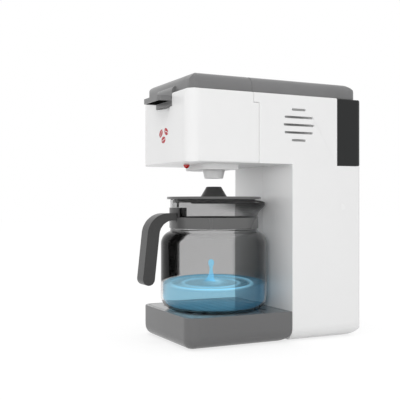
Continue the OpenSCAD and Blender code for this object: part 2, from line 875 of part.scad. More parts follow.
module drip_slot(y) {
    r = slot_w / 2;
    translate([-slot_len / 2 + r, y - r]) square([slot_len - slot_w, slot_w]);
    for (s = [-1, 1]) translate([s * (slot_len / 2 - r), y]) circle(r);
}

// Four rubber feet let into the base
module rubber_feet() {
    r = 6;
    inset = foot_edge_r + r + 2;
    color("black") from_front() {
        for (side = [-1, 1]) {
            for (y = [tray_edge_r + r + 2, back_y - inset]) {
                bar_z(side * (half_w - inset), y, 0, foot_h, r);
            }
        }
    }
}

// Two screws from inside the tray into the column
module tray_screws() {
    y0 = column_y - seam_gap - tray_rim - 2;
    color("silver") from_front() {
        for (side = [-1, 1]) {
            bar_y(side * tray_screw_x, tray_screw_z, y0 - 1.6, y0, screw_head_r);
            bar_y(side * tray_screw_x, tray_screw_z, y0, column_y + wall + 2, screw_r);
        }
    }
}

// Open box for the batteries, with the boss of the door's screw above it
module battery_box() {
    z1 = box_z + box_h;
    color("dimgray") from_front() difference() {
        union() {
            block([-box_half_w, box_y0, box_z], [box_half_w, box_y1, z1]);
            block([-box_flange_half_w, box_y1 - wall, door_z0 - box_flange],
                [box_flange_half_w, box_y1, door_z1 + box_flange]);
            bar_y(0, door_screw_z, box_y1 - door_screw_len - 1, box_y1, boss_r);
        }
        block([-box_half_w + box_t, box_y0 + box_t, box_z + box_t],
            [box_half_w - box_t, box_y1 + 1, z1 - box_t]);
        bar_y(0, door_screw_z, box_y1 - door_screw_len, box_y1 + 1, pilot_r);
    }
}

// Round cells standing side by side
module batteries() {
    color("goldenrod") from_front() {
        for (i = [0:cell_count - 1]) {
            x = (i - (cell_count - 1) / 2) * cell_pitch;
            bar_z(x, cell_y, cell_z, cell_z + cell_len - 1, cell_r);
            bar_z(x, cell_y, cell_z + cell_len - 1, cell_z + cell_len, 2.7);
        }
    }
}

// Sprung and flat contacts at both ends of each cell
module battery_contacts() {
    plate_t = 0.6;
    z0 = box_z + box_t;
    z1 = box_z + box_h - box_t;
    color("silver") from_front() {
        for (i = [0:cell_count - 1]) {
            x = (i - (cell_count - 1) / 2) * cell_pitch;
            block([x - 5, cell_y - 5, z0], [x + 5, cell_y + 5, z0 + plate_t]);
            bar_z(x, cell_y, z0 + plate_t, cell_z, 2.5);
            block([x - 5, cell_y - 5, z1 - plate_t], [x + 5, cell_y + 5, z1]);
            bar_z(x, cell_y, cell_z + cell_len, z1 - plate_t, 2);
        }
    }
}

// Door over the batteries, flush with the back face, with finger ribs
module battery_door() {
    color("whitesmoke") from_front() difference() {
        front_extrude(back_y - door_t, back_y) round_rect([-door_half_w, door_z0],
            [door_half_w, door_z1], [2, 2, 2, 2]);
        bar_y(0, door_screw_z, back_y - door_t - 1, back_y + 1, screw_r + fit_gap);
        bar_y(0, door_screw_z, back_y - 1.2, back_y + 1, screw_head_r + fit_gap);
        for (i = [0:3]) {
            z = box_z + 6 + 3 * i;
            block([-9, back_y - 0.8, z], [9, back_y + 1, z + 1.4]);
        }
    }
}

// Screw of the battery door
module battery_door_screw() {
    color("silver") from_front() {
        bar_y(0, door_screw_z, back_y - 1.1, back_y - 0.2, screw_head_r);
        bar_y(0, door_screw_z, box_y1 - door_screw_len + 1, back_y - 1.1, screw_r);
    }
}

// Main board, held on four posts of the left shell
module circuit_board() {
    color("darkgreen") from_front() difference() {
        block([board_x, board_y0, board_z0], [board_x + board_t, board_y1, board_z1]);
        for (p = board_posts) bar_x(p[0], p[1], board_x - 1, board_x + board_t + 1, 1.5 + tiny_gap);
    }
}

// Chips, capacitor and plug sockets on the board
module board_parts() {
    x0 = board_x + board_t;
    color("black") from_front() {
        chip_y = board_y0 + chip_at[0];
        chip_z = board_z0 + chip_at[1];
        block([x0, chip_y, chip_z], [x0 + chip_size[0], chip_y + chip_size[1], chip_z + chip_size[2]]);
        plug_y = board_y0 + plug_at[0];
        plug_z = board_z0 + plug_at[1];
        block([x0, plug_y, plug_z], [x0 + plug_size[0], plug_y + plug_size[1], plug_z + plug_size[2]]);
        bar_x(board_y0 + cap_at[0], board_z0 + cap_at[1], x0, x0 + cap_h, cap_r);
    }
}

// Loudspeaker behind the sound slots
module speaker() {
    x1 = half_w - wall;
    x2 = x1 - speaker_rim_t - speaker_cone_h;
    z = lid_z - sound_drop;
    color("black") from_front() difference() {
        union() {
            bar_x(sound_y, z, x1 - speaker_rim_t, x1, speaker_r);
            translate([x2, sound_y, z]) rotate([0, 90, 0]) cylinder(h = speaker_cone_h,
                r1 = speaker_magnet_r, r2 = speaker_r - 1);
            bar_x(sound_y, z, x2 - speaker_magnet_h, x2, speaker_magnet_r);
        }
        translate([x2 + 2, sound_y, z]) rotate([0, 90, 0]) cylinder(h = speaker_cone_h + 1, r1 = 3,
            r2 = speaker_r - 2);
    }
}

// Body of the power switch, behind its slot in the back wall
module switch_housing() {
    y1 = back_y - wall - tiny_gap;
    color("black") from_front() difference() {
        block([switch_x - 10, y1 - 6, switch_z - 5], [switch_x + 10, y1, switch_z + 5]);
        block([switch_x - switch_slot / 2, y1 - 4, switch_z - switch_half_h],
            [switch_x + switch_slot / 2, y1 + 1, switch_z + switch_half_h]);
    }
}

// Sliding knob of the power switch
module switch_knob() {
    x0 = switch_x - switch_slot / 2 + fit_gap;
    x1 = x0 + switch_slot - switch_travel - 2 * fit_gap;
    y0 = back_y - wall - tiny_gap - 4 + fit_gap;
    half_h = switch_half_h - fit_gap;
    color("dimgray") from_front() difference() {
        block([x0, y0, switch_z - half_h], [x1, back_y - 0.3, switch_z + half_h]);
        for (x = [x0 + 2, x0 + 4, x0 + 6]) {
            block([x - 0.4, back_y - 0.8, switch_z - 3], [x + 0.4, back_y + 1, switch_z + 3]);
        }
    }
}

// Motor of the pump
module pump_motor() {
    color("silver") from_front() difference() {
        union() {
            bar_z(pump_x, pump_y, pump_z - motor_h, pump_z - 1.5, motor_r);
            bar_z(pump_x, pump_y, pump_z - 1.5, pump_z, 4);
        }
        bar_z(pump_x, pump_y, pump_z - motor_h + 3, pump_z + 1, shaft_r + run_gap);
    }
}

// Bracket that hangs the motor and the pump from the shelf
module motor_bracket() {
    z1 = recess_z - wall;
    z0 = pump_z - motor_h + bracket_lift;
    y0 = pump_y + motor_r + 3;
    color("gray") from_front() {
        difference() {
            union() {
                bar_z(pump_x, pump_y, z0, z0 + bracket_h, motor_r + bracket_t);
                block([pump_x - bracket_half_w, pump_y, z0],
                    [pump_x + bracket_half_w, y0, z0 + bracket_h]);
            }
            bar_z(pump_x, pump_y, z0 - 1, z0 + bracket_h + 1, motor_r + slip);
        }
        block([pump_x - bracket_half_w, y0, z0], [pump_x + bracket_half_w, y0 + bracket_t, z1]);
    }
}

// Cup of the pump with its side outlet
module pump_housing() {
    color("lightgray") from_front() difference() {
        union() {
            bar_z(pump_x, pump_y, pump_z, pump_z + pump_h - pump_lid_t, pump_r);
            bar_y(0, outlet_z, pump_y - pump_r - 4, pump_y, tube_r + stub_wall);
        }
        bar_z(pump_x, pump_y, pump_z + 1.8, pump_z + pump_h, pump_r - 1.8);
        bar_z(pump_x, pump_y, pump_z - 1, pump_z + 3, shaft_r + run_gap);
        bar_y(0, outlet_z, pump_y - pump_r - 5, pump_y, tube_r + slip);
    }
}

// Cover of the pump with its inlet
module pump_cover() {
    z0 = pump_z + pump_h - pump_lid_t;
    color("lightgray") from_front() difference() {
        union() {
            bar_z(pump_x, pump_y, z0, z0 + pump_lid_t, pump_r);
            bar_z(pump_x, pump_y, z0 + pump_lid_t, z0 + pump_lid_t + stub_len, tube_r + stub_wall);
        }
        bar_z(pump_x, pump_y, z0 - 1, z0 + pump_lid_t + stub_len + 1, tube_r + slip);
    }
}

// Shaft and six-bladed wheel, which turn as one
module pump_rotor() {
    wheel_z = pump_z + 2.6;
    wheel_r = pump_r - 3.4;
    color("orange") from_front() {
        bar_z(pump_x, pump_y, pump_z - motor_h + 3.2, wheel_z + 6.6, shaft_r);
        difference() {
            union() {
                bar_z(pump_x, pump_y, wheel_z, wheel_z + 1.2, wheel_r);
                bar_z(pump_x, pump_y, wheel_z, wheel_z + 6.6, 2.4);
                for (a = [0:60:300]) {
                    translate([pump_x, pump_y, wheel_z]) rotate(a) translate([0, -0.5, 0])
                        cube([wheel_r - 0.3, 1, 6]);
                }
            }
            bar_z(pump_x, pump_y, wheel_z - 1, wheel_z + 8, shaft_r - slip);
        }
    }
}

// Cross-section of a water tube
module tube_section() {
    difference() {
        circle(tube_r);
        circle(tube_r - tube_wall);
    }
}

// Straight leg of a tube
module tube_leg(at, angles, length) {
    translate(at) rotate(angles) linear_extrude(length) tube_section();
}

// Quarter bend of a tube in the upright middle plane, from a start angle anticlockwise about at
module tube_bend(at, start) {
    translate(at) rotate([90, 0, 90]) rotate(start) rotate_extrude(angle = 90)
        translate([tube_bend_r, 0]) tube_section();
}

// Tube from the tank socket down to the pump
module suction_tube() {
    z0 = pump_z + pump_h;
    color([0.85, 0.87, 0.88]) from_front()
        tube_leg([pump_x, pump_y, z0], [0, 0, 0], socket_z - socket_r - z0);
}

// Tube from the pump's outlet up the column and forward to the nozzle
module delivery_tube() {
    low = [0, riser_y + tube_bend_r, outlet_z + tube_bend_r];
    high = [0, riser_y - tube_bend_r, feed_z - tube_bend_r];
    color([0.85, 0.87, 0.88]) from_front() {
        tube_leg([0, low[1], outlet_z], [-90, 0, 0], pump_y - pump_r + 1 - low[1]);
        tube_bend(low, 180);
        tube_leg([0, riser_y, low[2]], [0, 0, 0], high[2] - low[2]);
        tube_bend(high, 0);
        tube_leg([0, high[1], feed_z], [90, 0, 0], high[1] - brew_y - chamber_r + 1);
    }
}

// Half outline of the carafe's body and neck, taken in by t
module vessel_outline(t) {
    open = t > 0 ? 2 : 0;
    round_rect([0, vessel_z + t], [carafe_r - t, shoulder_z - t],
        [0, carafe_foot_r - t, shoulder_r - t, 0]);
    translate([0, shoulder_z - shoulder_r - t]) square([neck_r - t, neck_h + shoulder_r + t + open]);
}

// Pouring lip: a leaning round channel on the neck
module spout_solid(t) {
    y_top = spout_reach - spout_r / cos(spout_lean);
    intersection() {
        translate([0, y_top, neck_z]) rotate([-spout_lean, 0, 0]) translate([0, 0, -2.2 * spout_r])
            cylinder(h = 3.4 * spout_r, r = spout_r - t);
        block([-2 * spout_r, 0, neck_z - spout_h + t],
            [2 * spout_r, spout_reach + 1, neck_z + (t > 0 ? 2 : 0)]);
    }
}

// Clear jug
module carafe_vessel() {
    color([0.6, 0.6, 0.6, 0.5]) from_front() difference() {
        union() {
            translate([0, brew_y, 0]) rotate_extrude($fn = 96) vessel_outline(0);
            translate([0, brew_y, 0]) spout_solid(0);
        }
        translate([0, brew_y, 0]) rotate_extrude($fn = 96) vessel_outline(carafe_wall);
        translate([0, brew_y, 0]) spout_solid(carafe_wall);
        bar_y(0, lug_z, 0, brew_y - neck_r + 4, screw_r + fit_gap);
    }
}

// Strap that holds the handle to the neck
module neck_band() {
    color("gray") from_front() difference() {
        bar_z(0, brew_y, band_z, band_z + band_h, neck_r + slip + band_t);
        bar_z(0, brew_y, band_z - 1, band_z + band_h + 1, neck_r + slip);
        bar_y(0, lug_z, 0, brew_y, screw_r + fit_gap);
    }
}

// Side view of the handle, with radius from the brew axis first and height second
module handle_outline() {
    root_r = neck_r + band_t + 2 * slip;
    outer_r = 19;
    inner_r = 13;
    mid_r = outer_r - handle_t / 2;
    outer_z = handle_top_z - outer_r;
    end_z = vessel_z + handle_end_h + handle_t / 2;
    grip_len = (outer_z + mid_r * sin(handle_lean) - end_z) / cos(handle_lean);
    outer_x = handle_reach - handle_t / 2 - mid_r * cos(handle_lean) - grip_len * sin(handle_lean);
    inner_x = outer_x + outer_r - handle_t - inner_r;
    inner_z = handle_top_z - root_h - inner_r;
    difference() {
        union() {
            translate([root_r, outer_z]) square([outer_x - root_r, outer_r]);
            translate([outer_x, outer_z]) circle(outer_r);
            translate([outer_x, outer_z]) rotate(handle_lean) translate([-10, -grip_len])
                square([outer_r + 10, grip_len]);
        }
        translate([root_r - 1, inner_z - 40]) square([inner_x - root_r + 1, 40 + inner_r]);
        translate([inner_x, inner_z]) circle(inner_r);
        translate([inner_x, inner_z]) rotate(handle_lean) translate([-50, -grip_len - 20])
            square([50 + inner_r, grip_len + 20]);
    }
    translate([outer_x, outer_z]) rotate(handle_lean) translate([mid_r, -grip_len])
        circle(handle_t / 2);
}

// Handle of the carafe, with a pad that lies against the neck above the strap
module carafe_handle() {
    pad_z = band_z + band_h + slip;
    color("dimgray") from_front() difference() {
        union() {
            translate([0, brew_y, 0]) rotate([0, 0, 180]) side_extrude(-handle_w / 2, handle_w / 2)
                handle_outline();
            intersection() {
                bar_z(0, brew_y, pad_z, lug_z + lug_h - 1.9, neck_r + slip + 1.4);
                block([-lug_half_w, 0, pad_z], [lug_half_w, brew_y - neck_r + 6, neck_z]);
            }
        }
        bar_z(0, brew_y, vessel_z, neck_z, neck_r + slip);
        bar_z(0, brew_y, vessel_z, pad_z - slip + tiny_gap, neck_r + band_t + 2 * slip);
        bar_y(0, lug_z, brew_y - neck_r - 9, brew_y, pilot_r);
    }
}

// Block inside the neck that the handle's screw pulls against
module handle_lug() {
    r = neck_r - carafe_wall - tiny_gap;
    color([0.25, 0.25, 0.25]) from_front() difference() {
        intersection() {
            bar_z(0, brew_y, lug_z - 1.9, lug_z + lug_h - 1.9, r);
            block([-lug_half_w, brew_y - r - 1, 0], [lug_half_w, brew_y - r + 6, neck_z]);
        }
        bar_y(0, lug_z, 0, brew_y, screw_r + slip);
    }
}

// Screw from inside the neck into the handle
module lug_screw() {
    y1 = brew_y - neck_r + carafe_wall + tiny_gap + 6;
    color("silver") from_front() {
        bar_y(0, lug_z, y1, y1 + 1.6, screw_head_r);
        bar_y(0, lug_z, brew_y - neck_r - 8, y1, screw_r);
    }
}

// Flat lid of the carafe with a skirt, a plug ring and a rib over the lug
module carafe_lid() {
    skirt_r = neck_r - carafe_wall - fit_gap;
    seat_z = neck_z + slip;
    color("dimgray") from_front() {
        difference() {
            bar_z(0, brew_y, seat_z, cone_z, carafe_lid_r);
            bar_z(0, brew_y, neck_z - 1, cone_z + 1, funnel_r);
        }
        difference() {
            bar_z(0, brew_y, neck_z - skirt_d, seat_z, skirt_r);
            bar_z(0, brew_y, neck_z - skirt_d - 1, seat_z + 1, skirt_r - 1.5);
            // gap that lets water out at the lip
            block([-12, brew_y, neck_z - skirt_d - 1], [12, brew_y + neck_r, seat_z + 1]);
        }
        difference() {
            bar_z(0, brew_y, neck_z - plug_d, seat_z, plug_r);
            bar_z(0, brew_y, neck_z - plug_d - 1, seat_z + 1, plug_r - 1.5);
        }
        block([-0.8, brew_y - skirt_r + 1, lug_z + lug_h - 1.9 + fit_gap],
            [0.8, brew_y - skirt_r + 2.6, seat_z]);
    }
}

// Dark filling cone on the lid
module lid_funnel() {
    color([0.2, 0.2, 0.2]) from_front() difference() {
        translate([0, brew_y, cone_z]) cylinder(h = cone_h, r1 = 12, r2 = 6.6);
        bar_z(0, brew_y, cone_z - 1, cone_z + 1, funnel_r);
        translate([0, brew_y, cone_z + 1]) cylinder(h = cone_h, r1 = funnel_r, r2 = 5.6);
    }
}

rear_shell_left();
rear_shell_right();
head_front_cover();
head_base_plate();
rear_top_cover();
flip_lid();
lid_hinge_pin();
brew_deck();
filter_basket();
outlet_nozzle();
sensor_lens();
sensor_board();
water_tank();
tank_socket();
socket_seal();
base_tray();
drip_grille();
rubber_feet();
tray_screws();
battery_box();
batteries();
battery_contacts();
battery_door();
battery_door_screw();
circuit_board();
board_parts();
speaker();
switch_housing();
switch_knob();
pump_motor();
motor_bracket();
pump_housing();
pump_cover();
pump_rotor();
suction_tube();
delivery_tube();
housing_screws();
carafe_vessel();
neck_band();
carafe_handle();
handle_lug();
lug_screw();
carafe_lid();
lid_funnel();
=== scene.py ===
"""Toy coffee maker: surfaces, glass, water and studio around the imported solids.

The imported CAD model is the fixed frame. Each sub-assembly is a class that shapes the pieces which
need softer forms than the solids have, gives every piece its finish, and lets it ride on its body.
Sizes of the sub-assemblies are millimetres, with depth counted backward from the front face. Sizes of
the finishes and the studio are metres in the model's frame, unless a name ends in _mm.
"""

import json
import logging
import math
from dataclasses import dataclass, field
from enum import Enum

import bmesh
import bpy
import numpy as np
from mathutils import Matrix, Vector

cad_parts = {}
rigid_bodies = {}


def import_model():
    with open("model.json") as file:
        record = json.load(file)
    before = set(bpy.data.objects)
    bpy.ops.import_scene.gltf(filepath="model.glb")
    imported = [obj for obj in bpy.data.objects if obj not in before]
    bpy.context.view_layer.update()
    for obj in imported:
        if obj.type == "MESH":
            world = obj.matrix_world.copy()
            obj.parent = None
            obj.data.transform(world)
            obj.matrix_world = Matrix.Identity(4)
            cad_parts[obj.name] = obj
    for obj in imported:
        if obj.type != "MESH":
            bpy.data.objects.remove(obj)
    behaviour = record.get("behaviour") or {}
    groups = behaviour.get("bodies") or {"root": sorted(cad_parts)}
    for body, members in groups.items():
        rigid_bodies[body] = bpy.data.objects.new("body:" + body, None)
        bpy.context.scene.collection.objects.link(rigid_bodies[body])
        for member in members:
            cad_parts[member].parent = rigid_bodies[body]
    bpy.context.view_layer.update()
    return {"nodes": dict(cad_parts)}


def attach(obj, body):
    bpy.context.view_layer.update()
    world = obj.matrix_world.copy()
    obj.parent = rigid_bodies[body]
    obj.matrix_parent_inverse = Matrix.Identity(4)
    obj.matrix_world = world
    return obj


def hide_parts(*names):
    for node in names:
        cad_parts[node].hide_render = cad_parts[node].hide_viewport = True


for _stale in list(bpy.data.objects):
    bpy.data.objects.remove(_stale)

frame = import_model()

logging.basicConfig(level=logging.INFO, format="%(message)s")
LOG = logging.getLogger("coffee_maker")

MM = 0.001
FRONT_MM = -76.55  # Y of the front face
BREW_MM = 49.3  # depth of the brew axis behind the front face
MERGE_MM = 0.01  # points of a solid that lie closer than this are one point
FLAT_DEGREES = 0.15  # faces that turn by less than this are one face
SHARP_DEGREES = 32.0  # edges of a solid that turn by more than this are broken
CREASE_DEGREES = 35.0  # edges of a new form that turn by more than this shade as sharp

Span = tuple[float, float]
Triple = tuple[float, float, float]
Colour = Triple
Tone = tuple[float, float, float, float]
Socket = bpy.types.NodeSocket
Value = Socket | float


# ---------------------------------------------------------------- geometry helpers


def at_front(points_mm: np.ndarray) -> np.ndarray:
    """Turns millimetres with depth counted from the front face into metres in the model's frame.

    Args:
        points_mm: Array whose last axis holds x, depth and height.

    Returns:
        The same array in metres, with the front face at its own place in Y.
    """
    return (points_mm + np.array([0.0, FRONT_MM, 0.0])) * MM


def arc(centre: Span, radius: float, start: float, stop: float, count: int) -> np.ndarray:
    """Points of a circular arc.

    The point at angle a is the centre plus radius times (cos a, sin a), with a running evenly
    from start to stop.

    Args:
        centre: Centre of the arc, as two coordinates.
        radius: Radius of the arc.
        start: First angle in degrees.
        stop: Last angle in degrees.
        count: Number of points.

    Returns:
        Array of shape (count, 2).
    """
    angle = np.radians(np.linspace(start, stop, count))
    return np.stack([centre[0] + radius * np.cos(angle), centre[1] + radius * np.sin(angle)], 1)


def even_line(first: Span, last: Span, count: int) -> np.ndarray:
    """Evenly spaced points of a straight line, as an array of shape (count, 2)."""
    share = np.linspace(0.0, 1.0, count)[:, None]
    return np.array(first) * (1 - share) + np.array(last) * share


def bell(distance: np.ndarray, width: float) -> np.ndarray:
    """Bell curve: e to the power of minus the squared ratio of distance to width."""
    return np.exp(-((distance / width) ** 2))


def passed(value: np.ndarray, span: Span) -> np.ndarray:
    """Share of a span that a value has passed: 0 before the span, 1 beyond it, even in between."""
    return np.clip((value - span[0]) / (span[1] - span[0]), 0.0, 1.0)


def ease(share: np.ndarray) -> np.ndarray:
    """S-shaped rise over a share from 0 to 1: its square times three less twice the share."""
    return share**2 * (3 - 2 * share)


def curve(knots: np.ndarray, count: int) -> np.ndarray:
    """Smooth curve through given points.

    Between two points it is the cubic in t from 0 to 1 that passes through both and whose slope at
    each is half the step between that point's neighbours. An end point is its own neighbour.

    Args:
        knots: Array of shape (points, 2).
        count: Number of points on the curve.

    Returns:
        Array of shape (count, 2).
    """
    share = np.linspace(0, len(knots) - 1, count)
    whole = np.minimum(share.astype(int), len(knots) - 2)
    t = (share - whole)[:, None]
    before, after = knots[np.maximum(whole - 1, 0)], knots[np.minimum(whole + 2, len(knots) - 1)]
    here, there = knots[whole], knots[whole + 1]
    square = 2 * before - 5 * here + 4 * there - after
    cube = 3 * here - before - 3 * there + after
    return 0.5 * (2 * here + (there - before) * t + square * t**2 + cube * t**3)


def round_inset(radius: float, rise: np.ndarray) -> np.ndarray:
    """How far a rounded bottom edge lies inside its wall at each height above the bottom.

    It is the radius less the root of the radius squared less (radius - rise) squared, and nothing
    above the radius.

    Args:
        radius: Radius of the edge.
        rise: Heights above the bottom.

    Returns:
        The insets, one for each height.
    """
    return radius - np.sqrt(np.clip(radius**2 - np.clip(radius - rise, 0, None) ** 2, 0, None))


def rounded_rings(edges: np.ndarray, height: np.ndarray, corners: np.ndarray, steps: int) -> np.ndarray:
    """Level rings in the shape of rectangles with round corners.

    Each corner is a quarter arc: its centre lies inside both edges by the corner's radius, and its
    points are the centre plus the radius times (cos a, sin a) over the quarter that faces outward.

    Args:
        edges: Array of shape (rings, 4) with lowest x, highest x, front and back of each ring.
        height: Height of each ring.
        corners: Array of shape (rings, 2) with the radius of the front and of the back corners.
        steps: Number of points on each arc.

    Returns:
        Array of shape (rings, 4 * steps, 3).
    """
    quarter = np.radians(np.linspace(0.0, 90.0, steps))
    parts = []
    for side, end, start in ((1, 3, 0.0), (0, 3, 90.0), (0, 2, 180.0), (1, 2, 270.0)):
        radius = corners[:, end - 2][:, None]
        angle = quarter + math.radians(start)
        middle = math.radians(start + 45)
        x = edges[:, side][:, None] + radius * (np.cos(angle) - np.sign(math.cos(middle)))
        y = edges[:, end][:, None] + radius * (np.sin(angle) - np.sign(math.sin(middle)))
        parts.append(np.stack([x, y, np.broadcast_to(height[:, None], x.shape)], -1))
    return np.concatenate(parts, 1)


def ring_quads(index: np.ndarray, looped: bool = False) -> list:
    """Faces between neighbouring rings of point numbers.

    Ring i, point j is joined to ring i + 1, point j + 1 (mod the ring's length).

    Args:
        index: Point numbers, of shape (rings, points).
        looped: Whether the last ring joins the first.

    Returns:
        Lists of four point numbers.
    """
    here, there = (index, np.roll(index, -1, 0)) if looped else (index[:-1], index[1:])
    quads = np.stack([here, np.roll(here, -1, 1), np.roll(there, -1, 1), there], -1)
    return quads.reshape(-1, 4).tolist()


# ---------------------------------------------------------------- meshes and objects


def add_object(name: str, data: bpy.types.ID) -> bpy.types.Object:
    """Makes an object and links it to the scene.

    Args:
        name: Name of the object.
        data: Its mesh, lamp or camera.

    Returns:
        The object.
    """
    made = bpy.data.objects.new(name, data)
    bpy.context.scene.collection.objects.link(made)
    return made


def smooth_object(name: str, mesh: bpy.types.Mesh) -> bpy.types.Object:
    """Makes an object of a mesh whose faces are all shaded smooth."""
    mesh.polygons.foreach_set("use_smooth", np.ones(len(mesh.polygons), bool))
    return add_object(name, mesh)


def even_shading(piece: bpy.types.Object, weight: int = 50) -> None:
    """Lets the large faces keep their own direction in the shading, between sharp edges.

    Args:
        piece: The piece.
        weight: From 1 to 100: the higher it is, the more the large faces outweigh the small ones.
    """
    even = piece.modifiers.new("face_weighted_normals", "WEIGHTED_NORMAL")
    even.keep_sharp = True
    even.weight = weight


def soften(piece: bpy.types.Object) -> bpy.types.Object:
    """Marks the creases of a new form as sharp and evens its other shading.

    Args:
        piece: The new form.

    Returns:
        The same piece.
    """
    piece.data.set_sharp_from_angle(angle=math.radians(CREASE_DEGREES))
    even_shading(piece)
    return piece


def skin(name: str, vertices: np.ndarray, faces: list) -> bpy.types.Object:
    """Makes a smooth-shaded object from arrays, with its faces turned outward.

    Args:
        name: Name of the object and its mesh.
        vertices: Array whose last axis holds x, y and z, in metres.
        faces: Lists of vertex numbers.

    Returns:
        The object, linked to the scene.
    """
    mesh = bpy.data.meshes.new(name)
    mesh.from_pydata(vertices.reshape(-1, 3).tolist(), [], faces)
    mesh.update()
    build = bmesh.new()
    build.from_mesh(mesh)
    bmesh.ops.recalc_face_normals(build, faces=build.faces)
    if build.calc_volume(signed=True) < 0:
        bmesh.ops.reverse_faces(build, faces=build.faces)
    build.to_mesh(mesh)
    build.free()
    return smooth_object(name, mesh)


def loft(name: str, rings: np.ndarray, looped: bool = False) -> bpy.types.Object:
    """Skins a stack of rings.

    Where the stack isn't looped, its first and last ring are each closed by a fan round their mean
    point. These two points come last in the mesh.

    Args:
        name: Name of the new object.
        rings: Array of shape (rings, points, 3), in metres.
        looped: Whether the last ring joins the first.

    Returns:
        The skinned object.
    """
    count, length = rings.shape[:2]
    index = np.arange(count * length).reshape(count, length)
    faces = ring_quads(index, looped)
    vertices = rings.reshape(-1, 3)
    if not looped:
        poles = np.stack([rings[0].mean(0), rings[-1].mean(0)])
        first = np.stack([np.roll(index[0], -1), index[0], np.full(length, count * length)], -1)
        last = np.stack([index[-1], np.roll(index[-1], -1), np.full(length, count * length + 1)], -1)
        faces += first.tolist() + last.tolist()
        vertices = np.concatenate([vertices, poles])
    return skin(name, vertices, faces)


def store_shares(piece: bpy.types.Object, name: str, shares: np.ndarray, poles: Span) -> None:
    """Writes one number for each point of a lofted piece into a named attribute.

    Args:
        piece: The piece.
        name: Name of the attribute.
        shares: Numbers of the rings' points.
        poles: Numbers of the two points that close the ends.
    """
    data = piece.data.attributes.new(name, "FLOAT", "POINT")
    data.data.foreach_set("value", np.concatenate([shares.ravel(), poles]).astype(np.float32))


def polish(node: str, bevel_mm: float, segments: int, clamp: bool) -> bpy.types.Object:
    """Copies a CAD node into one clean mesh with softly broken edges.

    Doubled points are merged, flat areas are joined, sharp edges are rounded, and the large faces
    keep their own direction in the shading.

    Args:
        node: Name of the CAD node.
        bevel_mm: Width of the broken edges.
        segments: Number of steps across a broken edge.
        clamp: Whether the width is held back where edges lie close together.

    Returns:
        The copy, which isn't parented yet.
    """
    mesh = frame["nodes"][node].data.copy()
    mesh.name = f"{node}_form"
    build = bmesh.new()
    build.from_mesh(mesh)
    bmesh.ops.remove_doubles(build, verts=build.verts, dist=MERGE_MM * MM)
    flat = math.radians(FLAT_DEGREES)
    bmesh.ops.dissolve_limit(build, angle_limit=flat, verts=build.verts, edges=build.edges)
    bmesh.ops.recalc_face_normals(build, faces=build.faces)
    build.to_mesh(mesh)
    build.free()
    for stale in ("custom_normal", "sharp_face", "sharp_edge"):
        if stale in mesh.attributes:
            mesh.attributes.remove(mesh.attributes[stale])
    piece = smooth_object(f"{node}_form", mesh)
    mesh.set_sharp_from_angle(angle=math.radians(SHARP_DEGREES))
    edge = piece.modifiers.new("broken_edges", "BEVEL")
    edge.width = bevel_mm * MM
    edge.segments = segments
    edge.limit_method = "ANGLE"
    edge.angle_limit = math.radians(SHARP_DEGREES)
    edge.use_clamp_overlap = clamp
    even_shading(piece, 100)
    return piece


# ---------------------------------------------------------------- node graphs


